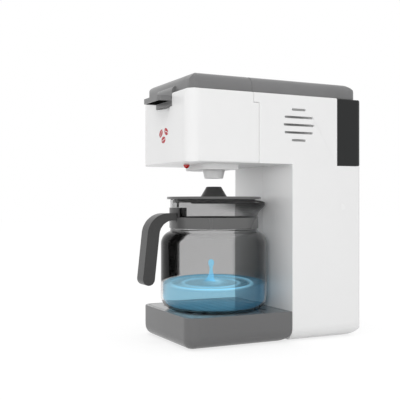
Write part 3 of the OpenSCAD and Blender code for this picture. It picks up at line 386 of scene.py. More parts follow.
class Graph:
    """Thin builder for one node tree."""

    def __init__(self, tree: bpy.types.NodeTree) -> None:
        """Starts an empty tree."""
        self.tree = tree
        tree.nodes.clear()

    def feed(self, node: bpy.types.Node, inputs: dict) -> None:
        """Links the inputs that are given as sockets and writes the other values into theirs."""
        for key, value in inputs.items():
            if isinstance(value, Socket):
                self.tree.links.new(value, node.inputs[key])
            else:
                node.inputs[key].default_value = value

    def add(self, kind: str, inputs: dict | None = None, **settings: object) -> bpy.types.Node:
        """Adds a node.

        Args:
            kind: Type name of the node.
            inputs: Values or source sockets by input name or number.
            settings: Properties of the node itself.

        Returns:
            The new node.
        """
        count = len(self.tree.nodes)
        node = self.tree.nodes.new(kind)
        node.location = (180 * (count % 8), -200 * (count // 8))
        for key, value in settings.items():
            setattr(node, key, value)
        self.feed(node, inputs or {})
        return node

    def group(self, tree: bpy.types.NodeTree, **values: float) -> bpy.types.bpy_prop_collection:
        """Adds a node group with the given input values and returns its outputs."""
        return self.add("ShaderNodeGroup", values, node_tree=tree).outputs

    def math(self, operation: str, a: Value, b: Value = 0.0, clamp: bool = False) -> Socket:
        """Adds a math node and returns its output."""
        return self.add("ShaderNodeMath", {0: a, 1: b}, operation=operation, use_clamp=clamp).outputs[0]

    def times(self, *factors: Value) -> Socket:
        """Multiplies values.

        Args:
            factors: Two or more values or sockets.

        Returns:
            Their product.
        """
        product = factors[0]
        for factor in factors[1:]:
            product = self.math("MULTIPLY", product, factor)
        return product

    def spread(
        self, value: Value, low: float, high: float, to_low: float = 0.0, to_high: float = 1.0
    ) -> Socket:
        """Adds a clamped map range from low..high to to_low..to_high and returns its output."""
        limits = {"From Min": low, "From Max": high, "To Min": to_low, "To Max": to_high}
        return self.add("ShaderNodeMapRange", {"Value": value, **limits}).outputs[0]

    def fall(self, value: Value, low: float, high: float) -> Socket:
        """Adds a mask that falls from one at the low value to nothing at the high one."""
        return self.spread(value, low, high, 1.0, 0.0)

    def blend(self, factor: Value, first: Socket | Tone, second: Socket | Tone) -> Socket:
        """Adds a colour mix from first to second and returns its output."""
        return self.add("ShaderNodeMix", {0: factor, 6: first, 7: second}, data_type="RGBA").outputs[2]

    def place(self) -> Socket:
        """Adds the object's own coordinates."""
        return self.add("ShaderNodeTexCoord").outputs["Object"]

    def axes(self, vector: Socket) -> bpy.types.bpy_prop_collection:
        """Splits a vector into its three axes."""
        return self.add("ShaderNodeSeparateXYZ", {0: vector}).outputs

    def attribute(self, name: str) -> Socket:
        """Adds a number that is stored with the mesh's points."""
        return self.add("ShaderNodeAttribute", attribute_name=name).outputs["Fac"]

    def noise(self, place: Socket, scale: Value, detail: float = 1.0, **inputs: float) -> Socket:
        """Adds a noise texture and returns its value."""
        values = {"Vector": place, "Scale": scale, "Detail": detail, **inputs}
        return self.add("ShaderNodeTexNoise", values).outputs[0]

    def relief(self, shader: bpy.types.Node, height: Socket, reach: float, strength: float = 0.5) -> None:
        """Bends a shader's normal as a height field of the given reach in metres does."""
        bump = self.add("ShaderNodeBump", {"Height": height, "Distance": reach, "Strength": strength})
        self.feed(shader, {"Normal": bump.outputs[0]})


def make_group(name: str, socket: str, value: float, *outputs: str) -> tuple[Graph, Socket]:
    """Makes a node group with one input.

    Args:
        name: Name of the group.
        socket: Name of its input.
        value: Default value of its input.
        outputs: Names of the outputs.

    Returns:
        A builder for the group, and its input as the nodes inside see it.
    """
    tree = bpy.data.node_groups.new(name, "ShaderNodeTree")
    given = tree.interface.new_socket(socket, in_out="INPUT", socket_type="NodeSocketFloat")
    given.default_value = value
    for output in outputs:
        tree.interface.new_socket(output, in_out="OUTPUT", socket_type="NodeSocketFloat")
    graph = Graph(tree)
    return graph, graph.add("NodeGroupInput").outputs[socket]


def mould_grain_group() -> bpy.types.NodeTree:
    """Height of a spark-eroded mould's grain: a fine noise and a coarser one, added up.

    Returns:
        The group, with Scale in and Height out.
    """
    coarser, coarse_share = 0.06, 0.8
    graph, scale = make_group("mould_grain", "Scale", 1800.0, "Height")
    place = graph.place()
    fine = graph.noise(place, scale, 2.0, Roughness=0.55)
    wide = graph.noise(place, graph.times(scale, coarser))
    graph.add("NodeGroupOutput", {"Height": graph.math("ADD", fine, graph.times(wide, coarse_share))})
    return graph.tree


def handling_group() -> bpy.types.NodeTree:
    """Masks of faint rubbed patches and of hairline scratches within them.

    Returns:
        The group, with Scale in and Patches and Scratches out.
    """
    rubbed, scratched, hairline = (0.42, 0.72), (0.5, 0.62), (0.71, 0.76)
    graph, scale = make_group("handling_marks", "Scale", 28.0, "Patches", "Scratches")
    place = graph.place()
    cloud = graph.noise(place, scale, 3.0, Distortion=0.6)
    drawn = {"Vector": place, "Rotation": (0.5, 0.9, 0.4), "Scale": (900.0, 22.0, 60.0)}
    streak = graph.noise(graph.add("ShaderNodeMapping", drawn).outputs[0], 1.0)
    scratches = graph.times(graph.spread(streak, *hairline), graph.spread(cloud, *scratched))
    patches = graph.spread(cloud, *rubbed)
    graph.add("NodeGroupOutput", {"Patches": patches, "Scratches": scratches})
    return graph.tree


def dust_group() -> bpy.types.NodeTree:
    """Mask of a thin veil of dust that lies on faces turned upward.

    Returns:
        The group, with Amount in and Mask out.
    """
    upward, speckled, speck_scale = (0.55, 0.98), (0.35, 0.75), 420.0
    graph, amount = make_group("settled_dust", "Amount", 1.0, "Mask")
    coordinates = graph.add("ShaderNodeTexCoord").outputs
    flat = graph.spread(graph.axes(coordinates["Normal"])["Z"], *upward)
    specks = graph.noise(coordinates["Object"], speck_scale, 4.0)
    graph.add("NodeGroupOutput", {"Mask": graph.times(flat, graph.spread(specks, *speckled), amount)})
    return graph.tree


class Effects:
    """The shared node groups, each made once."""

    def __init__(self) -> None:
        """Builds the groups."""
        self.grain = mould_grain_group()
        self.handling = handling_group()
        self.dust = dust_group()


EFFECTS = Effects()


# ---------------------------------------------------------------- finishes


def shade(colour: Colour, share: float = 1.0) -> Tone:
    """Colour times a share, with full alpha."""
    return (*(min(1.0, channel * share) for channel in colour), 1.0)


def let_through(tint: Colour, share: float = 1.0) -> Tone:
    """Colour of a clear mass: the square of what one surface lets through, times a share."""
    return shade(tuple(channel * channel for channel in tint), share)


SCUFFED = shade((0.7, 0.7, 0.7))
DUSTY = shade((0.62, 0.6, 0.57))
SMUDGED = shade((0.5, 0.5, 0.5))


def start_material(name: str) -> tuple[bpy.types.Material, Graph, bpy.types.Node]:
    """Makes a node material with a Principled shader.

    Args:
        name: Name of the material.

    Returns:
        The material, a builder for its nodes, and its shader.
    """
    material = bpy.data.materials.new(name)
    material.use_nodes = True
    graph = Graph(material.node_tree)
    shader = graph.add("ShaderNodeBsdfPrincipled")
    graph.add("ShaderNodeOutputMaterial", {"Surface": shader.outputs[0]})
    return material, graph, shader


@dataclass(frozen=True)
class Finish:
    """Finish that becomes one material."""

    name: str

    def make(self) -> bpy.types.Material:
        """Builds the material.

        Returns:
            The new material.
        """
        material, graph, shader = start_material(self.name)
        self.wire(graph, shader)
        return material

    def wire(self, graph: Graph, shader: bpy.types.Node) -> None:
        """Feeds the shader. Each kind of finish does this in its own way.

        Args:
            graph: Builder for the material's nodes.
            shader: Its Principled shader.
        """
        raise NotImplementedError


@dataclass(frozen=True)
class Plastic(Finish):
    """Moulded plastic: tinted mass, mould grain, rubbed patches, hairline scratches and dust."""

    colour: Colour
    roughness: float = 0.3
    specular: float = 0.5
    grain_scale: float = 1800.0
    grain_mm: float = 0.004
    patch_scale: float = 28.0
    mottle: float = 0.03
    grain_strength: float = 0.6
    rub: float = 0.06
    scratch: float = 0.02
    scuff: float = 0.03
    dust: float = 0.03
    coat: float = 0.0

    def wire(self, graph: Graph, shader: bpy.types.Node) -> None:
        """Tints the mass, marks and dulls it where it is handled, and gives it grain and dust.

        Args:
            graph: Builder for the material's nodes.
            shader: Its Principled shader.
        """
        grain = graph.group(EFFECTS.grain, Scale=self.grain_scale)["Height"]
        marks = graph.group(EFFECTS.handling, Scale=self.patch_scale)
        patches, scratches = marks["Patches"], marks["Scratches"]
        dust = graph.group(EFFECTS.dust, Amount=self.dust)["Mask"]
        light, darker_tone = shade(self.colour, 1 + self.mottle), shade(self.colour, 1 - self.mottle)
        worn = graph.blend(graph.times(scratches, self.scuff), graph.blend(patches, light, darker_tone), SCUFFED)
        rough = graph.math("ADD", graph.times(patches, self.rub), self.roughness)
        rough = graph.math("ADD", rough, graph.times(scratches, self.scratch), clamp=True)
        graph.feed(shader, {
            "Base Color": graph.blend(dust, worn, DUSTY),
            "Roughness": rough,
            "Specular IOR Level": self.specular,
            "Coat Weight": self.coat,
        })
        graph.relief(shader, grain, self.grain_mm * MM, self.grain_strength)


@dataclass(frozen=True)
class Metal(Finish):
    """Plain metal with a fine grain and rubbed patches."""

    colour: Colour
    roughness: float = 0.28
    uneven: float = 0.08
    mottle: Span = (1.04, 0.88)
    patch_scale: float = 90.0
    grain_scale: float = 2600.0
    grain_mm: float = 0.002

    def wire(self, graph: Graph, shader: bpy.types.Node) -> None:
        """Tints the metal and gives it an uneven gloss.

        Args:
            graph: Builder for the material's nodes.
            shader: Its Principled shader.
        """
        patches = graph.group(EFFECTS.handling, Scale=self.patch_scale)["Patches"]
        grain = graph.group(EFFECTS.grain, Scale=self.grain_scale)["Height"]
        tint = graph.blend(patches, *(shade(self.colour, share) for share in self.mottle))
        rough = graph.math("ADD", graph.times(grain, self.uneven), self.roughness)
        graph.feed(shader, {"Base Color": tint, "Roughness": rough, "Metallic": 1.0})
        graph.relief(shader, grain, self.grain_mm * MM)


@dataclass(frozen=True)
class Clear(Finish):
    """Clear tinted plastic, with faint waves and smudges in its skin."""

    tint: Colour
    ior: float = 1.45
    roughness: float = 0.0
    mottle: Span = (1.01, 0.985)
    patch_scale: float = 34.0
    smudge: float = 0.02
    wave_mm: float = 0.02
    wave_scale: float = 60.0

    def wire(self, graph: Graph, shader: bpy.types.Node) -> None:
        """Tints the mass by what one surface lets through, and smudges its skin.

        Args:
            graph: Builder for the material's nodes.
            shader: Its Principled shader.
        """
        patches = graph.group(EFFECTS.handling, Scale=self.patch_scale)["Patches"]
        colour = graph.blend(patches, *(let_through(self.tint, share) for share in self.mottle))
        rough = graph.math("ADD", graph.times(patches, self.smudge), self.roughness)
        graph.feed(shader, {
            "Base Color": colour,
            "Roughness": rough,
            "IOR": self.ior,
            "Transmission Weight": 1.0,
        })
        graph.relief(shader, graph.noise(graph.place(), self.wave_scale), self.wave_mm * MM)


@dataclass(frozen=True)
class SmokedGlass(Finish):
    """Smoked clear mass of the jug. A tint is what one surface lets through.

    It is lighter below the water line. Below the pouring lip, above the water, it is darker: painted
    shade of the jug's shadow on what stands behind it. It is darker on the lip too, where the piece's
    own lip attribute gives the share. Above the foot it darkens where it turns edge-on: painted dark
    edges, a painted reflection that changes with the view. On the handle's side, between the water and
    the shoulder, this starts sooner and makes a dark band, a painted reflection of the handle, whose
    foot climbs evenly across the handle's width.
    """

    tint: float = 0.79
    wet_tint: float = 0.93
    # painted reflection: tints of the handle's dark band and of the dark edge-on rims
    painted_band_tint: float = 0.07
    painted_edge_tint: float = 0.05
    lip_tint: float = 0.34
    # painted shade of the jug's shadow on what stands behind it
    painted_shadow_tint: float = 0.62
    ior: float = 1.15
    specular: float = 0.3
    patch_scale: float = 34.0
    smudge: float = 0.03
    dull: float = 0.01
    wave_mm: float = 0.02
    wave_scale: float = 60.0
    brew_y: float = (BREW_MM + FRONT_MM) * MM
    water_line: float = 0.0505
    dry_rise: Span = (-0.001, 0.002)
    foot_z: Span = (0.036, 0.044)
    shoulder_z: Span = (0.094, 0.102)
    handle_side: Span = (-0.03, -0.024)
    spout_side: Span = (0.036, 0.0385)
    band_edge: float = 0.0205
    band_fade: float = 0.001
    band_rise: float = 0.0095
    band_foot_fade: float = 0.0006
    band_turn: Span = (0.195, 0.225)
    rim_turn: Span = (0.5, 0.7)
    edge_turn: Span = (0.55, 0.95)
    edge_share: float = 0.75
    lip_share: Span = (0.05, 0.6)

    def _from_brew(self, span: Span) -> Span:
        """Turns distances behind the brew axis into two places in Y."""
        return self.brew_y + span[0], self.brew_y + span[1]

    def _painted_band_zone(self, graph: Graph, x: Socket, y: Socket, z: Socket) -> Socket:
        """Mask of the wall on the handle's side that can carry the dark band, a painted reflection of the
        handle.

        Args:
            graph: Builder for the material's nodes.
            x: Place from side to side.
            y: Place from front to back.
            z: Height.

        Returns:
            The mask.
        """
        low = graph.fall(z, *self.shoulder_z)
        near_handle = graph.fall(y, *self._from_brew(self.handle_side))
        edge, line = self.band_edge, self.water_line
        aside = graph.fall(graph.math("ABSOLUTE", x), edge - self.band_fade, edge + self.band_fade)
        foot = graph.spread(x, -edge, edge, line, line + self.band_rise)
        above = graph.spread(graph.math("SUBTRACT", z, foot), -self.band_foot_fade, self.band_foot_fade)
        return graph.times(above, low, near_handle, aside)

    def wire(self, graph: Graph, shader: bpy.types.Node) -> None:
        """Lays the tints over each other, from the wet and the dry wall to the lip.

        Args:
            graph: Builder for the material's nodes.
            shader: Its Principled shader.
        """
        patches = graph.group(EFFECTS.handling, Scale=self.patch_scale)["Patches"]
        place = graph.place()
        x, y, z = graph.axes(place)
        turn = graph.add("ShaderNodeLayerWeight", {"Blend": 0.5}).outputs["Facing"]
        dry = graph.spread(z, *(self.water_line + step for step in self.dry_rise))
        zone = self._painted_band_zone(graph, x, y, z)
        edge = graph.spread(turn, *self.edge_turn, 0.0, self.edge_share)
        upright = graph.spread(z, *self.foot_z)
        behind = graph.spread(y, *self._from_brew(self.spout_side))
        layers = (
            (dry, self.tint),
            # painted reflection of the handle: the dark band and its darker rim
            (graph.times(graph.spread(turn, *self.band_turn), zone), self.painted_band_tint),
            (graph.times(graph.spread(turn, *self.rim_turn), zone), self.painted_edge_tint),
            # painted reflection: dark edges above the foot, which change with the view
            (graph.times(edge, upright), self.painted_edge_tint),
            # painted shade of the jug's shadow on what stands behind, over the back wall above the water
            (graph.times(behind, dry), self.painted_shadow_tint),
            (graph.spread(graph.attribute("lip"), *self.lip_share), self.lip_tint),
        )
        colour = let_through((self.wet_tint,) * 3)
        for mask, tint in layers:
            colour = graph.blend(mask, colour, let_through((tint,) * 3))
        graph.feed(shader, {
            "Base Color": graph.blend(graph.times(patches, self.smudge), colour, SMUDGED),
            "Roughness": graph.times(patches, self.dull),
            "IOR": self.ior,
            "Specular IOR Level": self.specular,
            "Transmission Weight": 1.0,
        })
        graph.relief(shader, graph.noise(place, self.wave_scale), self.wave_mm * MM)


@dataclass(frozen=True)
class Water(Finish):
    """Blue water with a faint painted glow, and painted highlights and glow on its wave crests, whose
    share the piece's own attribute gives. It is darker at its floor, a painted shade.
    """

    tint: Colour = (0.56, 0.76, 0.84)
    # painted highlight colour of the crests, painted glow of the water and brighter painted glow of the
    # crests, as emission
    painted_crest: Colour = (0.3, 0.64, 0.88)
    painted_glow: Colour = (0.012, 0.035, 0.055)
    painted_crest_glow: Colour = (0.2, 0.42, 0.53)
    # painted shade at the floor, and the heights over which it sets in
    darker_tone: Colour = (0.26, 0.44, 0.5)
    painted_shade_z: Span = (0.0285, 0.0315)
    cloud: Span = (0.3, 0.7)
    cloud_share: Span = (0.94, 1.0)
    cloud_shade: float = 0.9
    coat: float = 0.2
    wave_mm: float = 0.04
    wave_scale: float = 90.0

    def wire(self, graph: Graph, shader: bpy.types.Node) -> None:
        """Tints the water by what one surface lets through, with painted shade at the floor. It paints a
        faint glow over it as emission, and highlights and a brighter glow on its crests.

        Args:
            graph: Builder for the material's nodes.
            shader: Its Principled shader.
        """
        painted_crest = graph.attribute("painted_crest")
        place = graph.place()
        wave = graph.noise(place, self.wave_scale, 2.0)
        cloudy = graph.spread(wave, *self.cloud, *self.cloud_share)
        body = graph.blend(cloudy, let_through(self.tint, self.cloud_shade), let_through(self.tint))
        # painted shade at the floor
        body = graph.blend(graph.spread(graph.axes(place)["Z"], *self.painted_shade_z), shade(self.darker_tone), body)
        graph.feed(shader, {
            # painted highlights on the crests, and a painted glow that is brighter on them, as emission
            "Base Color": graph.blend(painted_crest, body, shade(self.painted_crest)),
            "Emission Color": graph.blend(painted_crest, shade(self.painted_glow), shade(self.painted_crest_glow)),
            "Emission Strength": 1.0,
            "Roughness": 0.0,
            "IOR": 1.0,
            "Transmission Weight": 1.0,
            "Coat Weight": self.coat,
        })
        graph.relief(shader, wave, self.wave_mm * MM)


WHITE = Plastic("white_abs", (0.86, 0.86, 0.86), roughness=0.24, mottle=0.004, rub=0.03, dust=0.01)
PALE = Plastic("pale_abs", (0.84, 0.84, 0.84), mottle=0.01)
LID_GREY = Plastic("lid_grey_abs", (0.175, 0.175, 0.177), grain_mm=0.006, mottle=0.04)
TRAY_GREY = Plastic("tray_grey_abs", (0.135, 0.135, 0.137), roughness=0.2, mottle=0.015, rub=0.02)
GRILLE_GREY = Plastic("grille_grey_abs", (0.14, 0.14, 0.142), roughness=0.1, mottle=0.04, grain_mm=0.001)
TANK_DARK = Plastic("tank_smoke", (0.006, 0.007, 0.007), roughness=0.12, specular=0.35, grain_mm=0.001)
HANDLE_GREY = Plastic("handle_grey_pp", (0.032, 0.032, 0.032), mottle=0.06)
BAND_GREY = Plastic("band_grey_pp", (0.105, 0.105, 0.105), roughness=0.25)
FUNNEL_DARK = Plastic("cone_dark_pp", (0.05, 0.05, 0.05))
LID_DISC = Plastic("jug_lid_grey_pp", (0.11, 0.11, 0.11), roughness=0.28)
LENS_RED = Plastic("lens_red_pc", (0.62, 0.012, 0.012), roughness=0.08, grain_mm=0.0005, coat=0.6)
PRINT_RED = Plastic("print_red_ink", (0.48, 0.02, 0.03), roughness=0.4, mottle=0.08, grain_mm=0.002)
BASKET_GREY = Plastic("basket_grey_pp", (0.09, 0.09, 0.09), roughness=0.35)
WORKS_GREY = Plastic("works_grey_pa", (0.28, 0.28, 0.28), roughness=0.4)
SPEAKER_GREY = Plastic("speaker_grey_ps", (0.42, 0.42, 0.42), roughness=0.45)
ORANGE = Plastic("rotor_orange_pom", (0.75, 0.21, 0.03), roughness=0.35)
BOARD = Plastic("board_green_mask", (0.015, 0.11, 0.035), coat=0.4)
BLACK = Plastic("black_parts_pa", (0.012, 0.012, 0.012), roughness=0.38)
KNOB = Plastic("knob_grey_abs", (0.1, 0.1, 0.1), roughness=0.38)
RUBBER = Plastic("feet_rubber", (0.022, 0.022, 0.022), roughness=0.75, specular=0.3, grain_mm=0.02)
# painted shade: a black sheet that stands for the shadow in the hollow below the tab
PAINTED_SHADE_SHEET = Plastic(
    "painted_shade_black", (0.006, 0.006, 0.006), roughness=0.95, specular=0.0, grain_mm=0.02, dust=0.0
)
SEAL = Plastic("seal_silicone", (0.55, 0.2, 0.14), roughness=0.55, specular=0.35)
TUBE = Clear("tube_clear_pvc", (0.9, 0.92, 0.92), ior=1.4, roughness=0.12)
STEEL = Metal("bright_steel", (0.58, 0.57, 0.55))
MOTOR = Metal("motor_can_steel", (0.48, 0.48, 0.5), roughness=0.36)
FOIL = Metal("cell_sleeve", (0.32, 0.26, 0.13), roughness=0.4)
SMOKED = SmokedGlass("jug_smoked_clear")
WATER = Water("clear_blue_water")


class Library:
    """Built materials, each made once."""

    def __init__(self) -> None:
        """Starts with no material."""
        self._made: dict[str, bpy.types.Material] = {}

    def get(self, finish: Finish) -> bpy.types.Material:
        """Material of a finish, built at its first use."""
        if finish.name not in self._made:
            self._made[finish.name] = finish.make()
        return self._made[finish.name]

    def paint(self, piece: bpy.types.Object, finish: Finish) -> None:
        """Gives a piece one finish."""
        piece.data.materials.clear()
        piece.data.materials.append(self.get(finish))


LIBRARY = Library()


# ---------------------------------------------------------------- sub-assemblies


class Body(Enum):
    """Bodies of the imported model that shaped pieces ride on."""

    HOUSING = "housing"
    FLIP_LID = "flip_lid"
    TANK = "water_tank"
    GRILLE = "drip_grille"
    JUG = "carafe"
    JUG_LID = "carafe_lid"
    DOOR = "battery_door"


@dataclass
class Assembly:
    """A group of pieces with one build step and one dress step."""

    label: str
    pieces: list[bpy.types.Object] = field(default_factory=list)

    def build(self) -> None:
        """Shapes pieces. A group whose solids all stay as they are has none."""

    def dress(self) -> None:
        """Finishes solids that stay as they are. A group whose pieces are all shaped has none."""

    def mount(
        self, piece: bpy.types.Object, body: Body, finish: Finish, slot: str, *nodes: str
    ) -> bpy.types.Object:
        """Paints a shaped piece, fixes it to its body and lets it stand for CAD nodes.

        Args:
            piece: The shaped piece.
            body: Body that it rides on.
            finish: Its finish.
            slot: Material slot of the record; not used.
            nodes: CAD nodes that it stands for.

        Returns:
            The piece.
        """
        LIBRARY.paint(piece, finish)
        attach(piece, body.value)
        if nodes:
            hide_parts(*nodes)
        self.pieces.append(piece)
        LOG.info("%s: %s rides on %s", self.label, piece.name, body.value)
        return piece

    def polished(
        self, node: str, body: Body, finish: Finish, slot: str,
        bevel_mm: float = 0.3, segments: int = 2, clamp: bool = False,
    ) -> bpy.types.Object:
        """Mounts a polished copy of a CAD node in the node's place.

        Args:
            node: Name of the CAD node.
            body: Body that it rides on.
            finish: Its finish.
            slot: Material slot of the record.
            bevel_mm: Width of the broken edges.
            segments: Number of steps across a broken edge.
            clamp: Whether the width is held back where edges lie close together.

        Returns:
            The mounted copy.
        """
        return self.mount(polish(node, bevel_mm, segments, clamp), body, finish, slot, node)

    def dress_nodes(self, finish: Finish, *nodes: str) -> None:
        """Gives CAD nodes that are shown as they are one finish."""
        for node in nodes:
            LIBRARY.paint(frame["nodes"][node], finish)
            LOG.info("%s: %s keeps its solid", self.label, node)


@dataclass
class Housing(Assembly):
    """White shells, plate under the head, nozzle, sensor window and print."""

    label: str = "housing"
    bean_long: float = 4.3
    bean_wide: float = 2.9
    bean_bend: float = 0.5
    bean_groove: float = 0.3
    bean_places: tuple[Triple, ...] = ((-6.0, 182.9, 35.0), (5.2, 183.6, -28.0), (-0.6, 176.8, 4.0))
    ink_depth: Span = (-0.03, 0.05)

    def build(self) -> None:
        """Shapes the shells, the plate, the nozzle, the sensor window and the print."""
        for node in ("rear_shell_left", "rear_shell_right", "head_front_cover"):
            self.polished(node, Body.HOUSING, WHITE, "white_shell", bevel_mm=0.4)
        for node in ("head_base_plate", "outlet_nozzle"):
            self.polished(node, Body.HOUSING, PALE, "pale_plastic")
        self.polished("sensor_lens", Body.HOUSING, LENS_RED, "lens_red", bevel_mm=0.2)
        self.mount(self._beans(), Body.HOUSING, PRINT_RED, "lens_red")

    def _beans(self) -> bpy.types.Object:
        """Three printed coffee beans.

        A bean's place is its middle's x and height and its turn in degrees. Each bean is an ellipse
        cut in two by a groove. Along the bean's long axis s from -1 to 1, the edge is its half width
        times the root of 1 - s squared, and the groove's middle line is its bend times the sine of
        pi s. Each half is the strip between the edge and the groove's own side, and its sections are
        rectangles as deep as the ink.

        Returns:
            The print, as one piece.
        """
        along = np.linspace(-1.0, 1.0, 41)
        edge = self.bean_wide * np.sqrt(np.clip(1 - along**2, 0, 1))
        middle = self.bean_bend * np.sin(np.pi * along)
        upper = np.stack([np.minimum(middle + self.bean_groove, edge), edge], 1)
        lower = np.stack([-edge, np.maximum(middle - self.bean_groove, -edge)], 1)
        depth = np.broadcast_to(np.repeat(self.ink_depth, 2), (len(along), 4))
        strips = []
        for x, z, turn in self.bean_places:
            c, s = math.cos(math.radians(turn)), math.sin(math.radians(turn))
            for half in (upper, lower):
                a, b = (self.bean_long * along)[:, None], half[:, [0, 1, 1, 0]]
                strips.append(np.stack([x + a * c - b * s, depth, z + a * s + b * c], -1))
        index = np.arange(len(strips) * depth.size).reshape(-1, *depth.shape)
        faces = [quad for strip in index for quad in ring_quads(strip)]
        return skin("coffee_bean_print", at_front(np.stack(strips)), faces)

    def dress(self) -> None:
        """Finishes the solids that stay as they are."""
        self.dress_nodes(PALE, "brew_deck")
        self.dress_nodes(BASKET_GREY, "filter_basket")
        self.dress_nodes(STEEL, "housing_screws", "tray_screws", "lid_hinge_pin", "battery_door_screw")
        self.dress_nodes(RUBBER, "rubber_feet")


@dataclass
class Lids(Assembly):
    """Fixed rear lid, flip lid and battery door."""

    label: str = "lids"
    # black sheet of painted shade in the hollow below the tab
    sheet_half_w: float = 15.3
    sheet_front: float = -10.9
    sheet_back: float = -1.05
    sheet_z: Span = (209.05, 211.6)
    sheet_corners: Span = (1.3, 0.9)

    def _painted_shade_sheet(self) -> bpy.types.Object:
        """Black sheet of painted shade in the hollow below the tab: a rectangle with round corners,
        carried upward.

        Returns:
            The pad.
        """
        edges = np.tile([-self.sheet_half_w, self.sheet_half_w, self.sheet_front, self.sheet_back], (2, 1))
        rings = rounded_rings(edges, np.array(self.sheet_z), np.tile(self.sheet_corners, (2, 1)), 6)
        return soften(loft("painted_shade_sheet", at_front(rings)))

    def build(self) -> None:
        """Shapes both lids, the black sheet of painted shade below the tab, and the door."""
        self.polished("rear_top_cover", Body.HOUSING, LID_GREY, "lid_grey", bevel_mm=0.35)
        self.polished("flip_lid", Body.FLIP_LID, LID_GREY, "lid_grey", bevel_mm=0.35, clamp=True)
        # painted shade below the tab
        self.mount(self._painted_shade_sheet(), Body.FLIP_LID, PAINTED_SHADE_SHEET, "handle_grey")
        self.polished("battery_door", Body.DOOR, PALE, "pale_plastic")


@dataclass
class WaterTank(Assembly):
    """Rear water tank with its socket."""

    label: str = "tank"

    def build(self) -> None:
        """Shapes the tank."""
        self.polished("water_tank", Body.TANK, TANK_DARK, "tank_dark", bevel_mm=1.0, segments=3)

    def dress(self) -> None:
        """Finishes socket and seal."""
        self.dress_nodes(WORKS_GREY, "tank_socket")
        self.dress_nodes(SEAL, "socket_seal")


@dataclass
class DripTray(Assembly):
    """Base tray with its slotted plate."""

    label: str = "tray"
    half_w: float = 51.5
    depth: float = 99.7
    foot: float = 0.5
    top: float = 27.2
    side_r: float = 12.0
    toe_r: float = 8.0
    heel_r: float = 9.0
    corner_r: float = 11.0
    least_front_r: float = 2.0
    back_r: Span = (0.4, 4.0)
    rim: float = 3.85
    plate_t: float = 2.25
    ledge: float = 2.0
    ledge_lean: float = 0.1
    ledge_drop: float = 0.4
    floor_start: float = 1.0
    wall: float = 2.4
    edge_r: float = 0.5
    inner_r: float = 0.3
    inner_bow: float = 0.09
    corner_steps: int = 12

    def _shell(self, inset: float, height: np.ndarray, least: float) -> np.ndarray:
        """Rings of the tray's skin, moved inward.

        Args:
            inset: How far the skin lies inside the tray's own.
            height: Height of each ring.
            least: Smallest distance from the tray's outline.

        Returns:
            Array of rings. The corner radius shrinks as the bottom edges draw inward, which makes a ball
            corner.
        """
        rise = height - self.foot - inset
        side, toe, heel = (
            np.maximum(inset + round_inset(radius - inset, rise), least)
            for radius in (self.side_r, self.toe_r, self.heel_r)
        )
        edges = np.stack([-self.half_w + side, self.half_w - side, toe, self.depth - heel], 1)
        front = np.maximum(self.corner_r - 0.5 * (side + toe), self.least_front_r)
        back = np.clip(np.minimum(side, heel), *self.back_r)
        return rounded_rings(edges, height, np.stack([front, back], 1), self.corner_steps)

    def _tray(self) -> bpy.types.Object:
        """The tray as one skin.

        It runs up the outside, over the rim, down to the plate's ledge, and down the inside to the
        floor. The bottom edges and the rim's outer edge are quarter arcs.

        Returns:
            The tray.
        """
        quarter = np.radians(np.linspace(0, 90, 18))
        bottom = self.foot + self.side_r * (1 - np.cos(quarter))
        over = arc((self.edge_r, self.top - self.edge_r), self.edge_r, 180, 90, 5)[1:]
        seat = self.top - self.plate_t
        hole = self.rim + self.ledge + self.ledge_lean
        steps = [(level, least) for least, level in over]
        steps += [
            (self.top, self.rim - self.inner_r),
            (self.top - self.inner_bow, self.rim - self.inner_bow),
            (self.top - self.inner_r, self.rim),
            (seat, self.rim),
            (seat, self.rim + self.ledge),
            (seat - self.ledge_drop, hole),
        ]
        skins = [self._shell(0.0, np.append(bottom, self.top - self.edge_r), 0.0)]
        skins += [self._shell(0.0, np.array([level]), least) for level, least in steps]
        inside = np.linspace(seat - self.floor_start, self.foot + self.wall, 22)
        skins.append(self._shell(self.wall, inside, hole))
        return soften(loft("base_tray_form", at_front(np.concatenate(skins))))

    def build(self) -> None:
        """Shapes tray and plate."""
        self.mount(self._tray(), Body.HOUSING, TRAY_GREY, "tray_grey", "base_tray")
        self.polished("drip_grille", Body.GRILLE, GRILLE_GREY, "grille_grey", bevel_mm=0.25)


@dataclass(frozen=True)
class PaintedGlint:
    """Painted highlight on one wave ring, whose share changes round the ring between two limits."""

    radius: float
    width: float
    middle: float
    across: float
    downhill: float = 0.0
    limits: Span = (0.0, 1.0)

    def share(self, radius: np.ndarray, across: np.ndarray, downhill: np.ndarray) -> np.ndarray:
        """Bell curve of the distance from the ring, times a limited sum of the two directions.

        Args:
            radius: Distance of each point from the middle.
            across: How far each point lies across the tilt, as a share of its radius.
            downhill: How far each point lies down the tilt, as a share of its radius.

        Returns:
            The share of the painted highlight at each point.
        """
        turning = self.middle + self.across * across + self.downhill * downhill
        return bell(radius - self.radius, self.width) * np.clip(turning, *self.limits)


